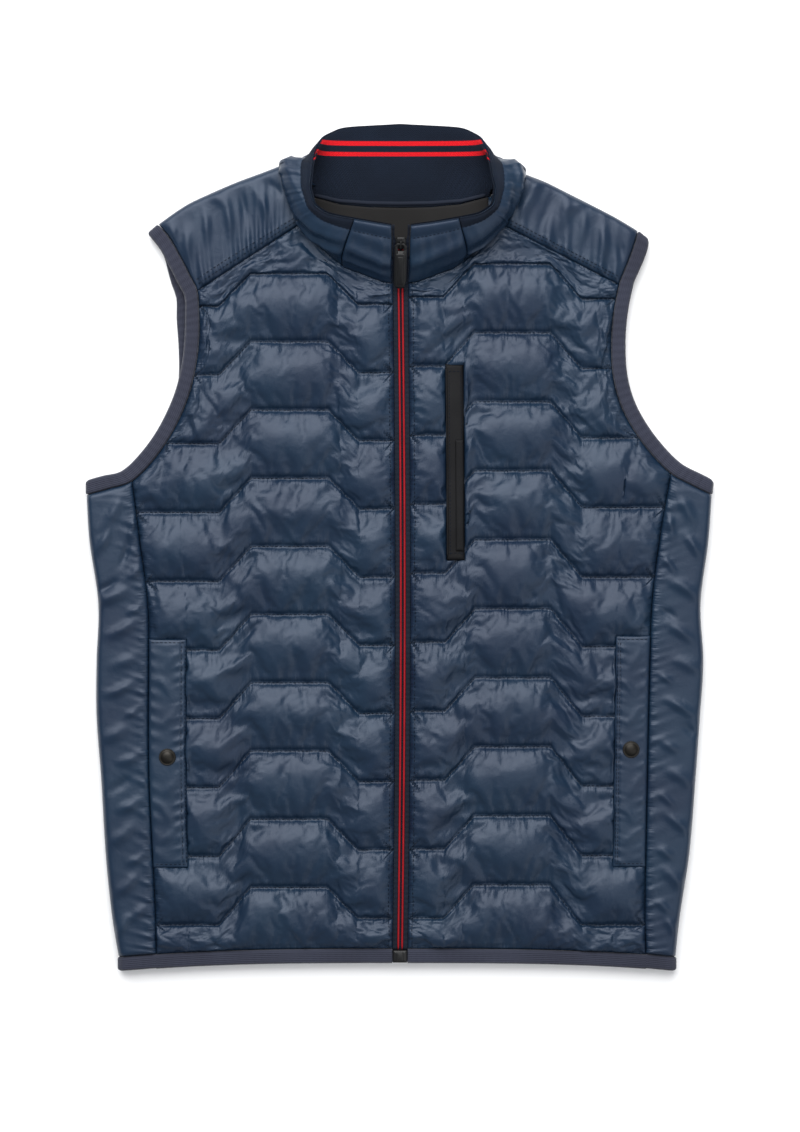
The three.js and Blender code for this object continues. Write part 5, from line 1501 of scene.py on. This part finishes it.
        w, length, low, high = self.box[0] / 2, self.box[1], self.box[2], self.box[3]
        frame_line = np.array([(-w, 0), (w, 0), (w, length), (-w, length)]) - [0, length / 2]
        box, ridge = by_angle(frame_line, (0.0, 0.0), 64), by_angle(frame_line * [0.5, 0.75], (0.0, 0.0), 64)
        parts = [solid(box, [(0.3, low), (0, low + 0.4), (0, high - 1.2), (0.6, high - 0.6)]),
                 solid(ridge, [(0, high - 0.8), (0.1, high - 0.2), (0.6, high)])]
        points, faces = joined(parts)
        points += [float(zip_middle(ZIP_BOTTOM)), ZIP_BOTTOM + length / 2, 0]
        stand_for(make_object("zip_bottom_box", points, faces, finishes[TRIM]), "zip_fittings", "zip_box")


@dataclass
class HandPocket:
    """A padded welt over a hand pocket, with rows of stitching and a snap."""

    front: QuiltedFront
    thick: float = 3.5
    rim: float = 1.4
    snap_y: tuple[float, float] = (-180.0, -173.5)

    def build(self, finishes: Finishes) -> None:
        """Make the welt, its stitching and the snap."""
        side = self.front.side
        low, high = self.front.pocket_rows
        rows = np.linspace(low, high, 130)
        edge = np.interp(rows, self.front.rows, self.front.edge_x) - side.sign * SEAM_GAP
        foot = side.sign * RAMP_FOOT + zip_middle(side.quilt_y(rows, 0 * rows))
        x = lerp(foot[:, None], edge[:, None], lerp(self.front.pocket_share, 1, np.linspace(0, 1, 30)))
        y = side.quilt_y(rows[:, None] + 0 * x, x)
        base = SEAM_TOP + SEAM_GAP
        wide = np.abs(x - x[:, :1])
        away = np.minimum(wide, np.abs(x[:, -1:] - x))
        ends = np.minimum(y - y[0], y[-1] - y)
        shut = pillow(away, 5) * pillow(ends, 5)
        grooves = sum(np.exp(-(((wide - at) / 0.8) ** 2)) for at in (1.6, 4.2))
        grooves = grooves + sum(np.exp(-(((ends - at) / 0.8) ** 2)) for at in (3.5,))
        seed = 41 + side.sign
        puckers = 0.45 * gathers(seed, y + 0.3 * wide, 5, 11) * np.exp(-(((wide - 5.0) / 6) ** 2))
        puckers = puckers + 0.5 * gathers(seed + 5, y - 0.3 * wide, 7, 16) * np.exp(-(x - x[:, -1:]) ** 2 / 90)
        sag = creased(x, y, [Crease(x.mean() + dx, py, turn, 16, 3.5, 1.1) for dx, py, turn in
                             ((4, -96, 60), (-3, -118, 128), (2, -146, 52), (3, -205, 60), (-2, -228, 124),
                              (1, -248, 40))])
        height = self.rim + (self.thick - self.rim) * shut - 0.95 * grooves * shut + (puckers + sag) * shut
        outer = np.dstack([x, y, base + height])
        inner = np.dstack([x, y, base + 0 * x])
        name = f"hand_pocket_{side.name}"
        piece = wall_object(f"padded_{name}", outer, inner, finishes[SHELL])
        stand_for(piece, "shell", name)
        lines = [outer[3:-3, int(np.argmin(np.abs(wide[60] - at)))] for at in (1.6, 4.2)]
        at_end = [int(np.argmin(np.abs(y[:, 0] - (y[row, 0] + step)))) for row, step in ((0, 3.5), (-1, -3.5))]
        lines += [outer[row, 2:-1] for row in at_end]
        threads = joined([stitches(line + [0, 0, 0.1], 2.4, 1.0, 0.28) for line in lines])
        stand_for(make_object(f"stitching_{name}", *threads, finishes[THREAD_WITH_PAINTED_SHADE]), "shell")
        snap_y = self.snap_y[0 if side.sign < 0 else 1]
        at = int(np.argmin(np.abs(y[:, 15] - snap_y)))
        centre = np.array([(x[at, 6] + x[at, 23]) / 2, snap_y, SEAM_TOP + 2 * SEAM_GAP + self.thick])
        turn = np.linspace(0, 2 * np.pi, 64, endpoint=False)
        circle = np.stack([np.cos(turn), np.sin(turn)], -1)
        dome = [(0, -0.6), (0, 0.5), (0.5, 0.95), (0.9, 0.7), (1.4, 0.75), (2.2, 1.6), (3.4, 2.3), (5, 2.75), (6.6, 2.9)]
        points, faces = solid(7.2 * circle, dome)
        stand_for(make_object(f"domed_snap_{side.name}", points + centre, faces, finishes[GUNMETAL]), "snap",
                  f"snap_{side.name}")


@dataclass
class ChestPocket:
    """The chest pocket's long strip, with piping on its left edge, and the short strip that opens it."""

    inset: float = 0.75
    top: float = 157.5
    bottom: float = -11.0
    pull_top: float = 92.5
    pull_bottom: float = -3.0

    def strip(self, left: float, right: float, bottom: float, top: float, base: float, thick: float, crown: float,
              ) -> tuple[Array, Array]:
        """Outer and inner faces of a strip between distances from the zip's middle."""
        y = np.linspace(bottom, top, 110)[:, None]
        x = lerp(left, right, np.linspace(0, 1, 21)) + zip_middle(y)
        away = np.minimum(np.abs(x - x[:, :1]), np.abs(x[:, -1:] - x))
        ends = np.minimum(y - bottom, top - y)
        shut = pillow(away, 2.2) * pillow(ends, 2.2)
        height = thick * (0.35 + 0.65 * shut) + crown * shut * np.sin(np.pi * np.clip(away / 8, 0, 0.5))
        height = height + 0.12 * np.sin(y / 13) * shut
        return np.dstack([x, y + 0 * x, base + height]), np.dstack([x, y + 0 * x, base + 0 * x])

    def build(self, finishes: Finishes) -> None:
        """Make both strips, the piping and the stitching."""
        left, right = RAMP_START + self.inset, 54 - self.inset
        base = SEAM_TOP + SEAM_GAP
        outer, inner = self.strip(left, right, self.bottom, self.top, base, 1.6, 0.8)
        grooves = outer.copy()
        piece = wall_object("coated_chest_pocket", outer, inner, finishes[STRIP])
        cut_of(right - left, self.top - self.bottom)
        stand_for(piece, "chest_strip", "chest_pocket")
        piping = tube(grooves[2:-2, 1] + [0, 0, 0.35], 0.85, np.array([0, 0, 1.0]), 10)
        stand_for(make_object("piping_chest_pocket", *piping, finishes[STRIP]), "chest_strip")
        lines = [outer[3:-3, 4], outer[3:-3, -4], outer[4, 4:-3], outer[-5, 4:-3]]
        threads = joined([stitches(line + [0, 0, 0.1], 2.2, 1.0, 0.25) for line in lines])
        stand_for(make_object("stitching_chest_pocket", *threads, finishes[THREAD_WITH_PAINTED_SHADE]), "chest_strip")
        outer, inner = self.strip(right - 7.5, right - 0.8, self.pull_bottom, self.pull_top, base + 2.7, 1.2, 0.2)
        pull = wall_object("coated_chest_pull", outer, inner, finishes[STRIP])
        cut_of(6.7, self.pull_top - self.pull_bottom)
        stand_for(pull, "chest_strip", "chest_pull")


@dataclass
class SeamStitching:
    """Rows of stitching on the shell: quilt lines, both sides of the zip, and the yoke seams."""

    front: QuiltedFront
    yoke: FoldedPanel

    def build(self, finishes: Finishes) -> None:
        """Make the stitches along the settled cloth."""
        front = self.front
        lines = []
        under = front.pocket_mask() | front.strip_mask()
        for line in range(1, LINE_COUNT + 1):
            row = line * front.channel_rows
            open_cloth = ~under[row]
            for run in np.split(np.arange(front.columns), np.flatnonzero(np.diff(open_cloth.astype(int))) + 1):
                if open_cloth[run[0]] and len(run) > 4:
                    lines.append(front.outer[row, run] + [0, 0, 0.3])
        lines.append(front.outer[2:-2, 2] + [0, 0, 0.2])
        for down in (3, 6):
            edge = self.yoke.outer[2:-2, down]
            lines.append(edge + [0, 0, 0.15])
        threads = joined([stitches(line, 2.6, 1.1, 0.3) for line in lines])
        name = f"stitching_front_{front.side.name}"
        stand_for(make_object(name, *threads, finishes[THREAD_WITH_PAINTED_SHADE]), "shell")


class Studio:
    """The floor, the soft lights and the camera straight above."""

    mm_per_pixel = 0.86
    middle_pixel = (400.0, 547.5)
    image = (800, 1132)
    lens_mm = 100.0
    sensor_mm = 36.0

    def build(self, finishes: Finishes) -> None:
        """Place everything round the vest."""
        scene = bpy.context.scene
        size = 8000.0
        corners = np.array([(-size, -size, -0.4), (size, -size, -0.4), (size, size, -0.4), (-size, size, -0.4)])
        floor = make_object("floor", corners, np.array([[0, 1, 2, 3]]), finishes[FLOOR], corners[:, :2])
        camera = bpy.data.cameras.new("camera")
        camera.lens, camera.sensor_width = self.lens_mm, self.sensor_mm
        camera.clip_end = 50
        eye = bpy.data.objects.new("camera", camera)
        tall = self.image[1] * self.mm_per_pixel
        drop = (self.image[1] / 2 - self.middle_pixel[1]) * self.mm_per_pixel
        eye.location = (0, -drop * MM, (tall * self.lens_mm / self.sensor_mm + SEAM_TOP) * MM)
        scene.collection.objects.link(eye)
        scene.camera = eye
        self.light("window", (-0.4, 1.75, 1.95), (3.2, 2.4), 118, (0, 0.05, 0))
        self.light("fill", (1.6, -1.2, 1.9), (2.0, 2.0), 14, (0, -0.1, 0))
        self.light("top", (0.2, 0.1, 2.9), (1.6, 1.6), 12, (0, 0, 0))
        world = bpy.data.worlds.new("soft room")
        world.use_nodes = True
        world.node_tree.nodes["Background"].inputs["Color"].default_value = (0.92, 0.95, 1.0, 1.0)
        world.node_tree.nodes["Background"].inputs["Strength"].default_value = 0.38
        scene.world = world
        scene.view_settings.view_transform = "Standard"

    @staticmethod
    def light(name: str, place: tuple, size: tuple, watts: float, target: tuple) -> None:
        """A rectangular soft light at a place, turned to a target."""
        from mathutils import Vector

        data = bpy.data.lights.new(name, "AREA")
        data.shape = "RECTANGLE"
        data.size, data.size_y = size
        data.energy = watts
        lamp = bpy.data.objects.new(name, data)
        lamp.location = place
        lamp.rotation_euler = (Vector(target) - Vector(place)).to_track_quat("-Z", "Y").to_euler()
        bpy.context.scene.collection.objects.link(lamp)


def main() -> None:
    """Build every piece in order."""
    logging.basicConfig(level=logging.INFO, format="%(name)s: %(message)s")
    finishes = Finishes()
    Studio().build(finishes)
    flanks, yokes = {}, {}
    for side in SIDES:
        front = QuiltedFront(side)
        front.build(finishes)
        plan = side_plan(side)
        flanks[side.name] = flank = FoldedPanel(f"side_panel_{side.name}", plan, plan,
                                                np.linspace(0.0004, 0.9996, 250), SIDE_CREASES[side.name])
        flank.build(finishes)
        over = yoke_plan(side, NECK_FRONT[-1], side.front_seam), yoke_plan(side, NECK_BACK[-1], side.back_seam)
        yokes[side.name] = yoke = FoldedPanel(f"yoke_{side.name}", *over, np.linspace(0.0014, 0.9986, 110),
                                              YOKE_CREASES[side.name], puff=3.2, seam_gather=(1.7, 24.0, 9.0, 26.0))
        yoke.build(finishes)
        edge = armhole_edge(side, flank, yoke)
        Binding(f"armhole_binding_{side.name}", *edge, side.across_binding(edge[0]), True).build(finishes)
        HandPocket(front).build(finishes)
        SeamStitching(front, yoke).build(finishes)
    Back().build(finishes)
    hem = hem_edge(flanks)
    down = np.tile([0.0, -BINDING_WIDTH], (len(hem[0]), 1))
    Binding("hem_binding", *hem, down, False).build(finishes)
    collar = Collar(yokes)
    collar.build(finishes)
    NeckLining().build(finishes)
    Zip(collar).build(finishes)
    ChestPocket().build(finishes)


if __name__ == "__main__":
    main()
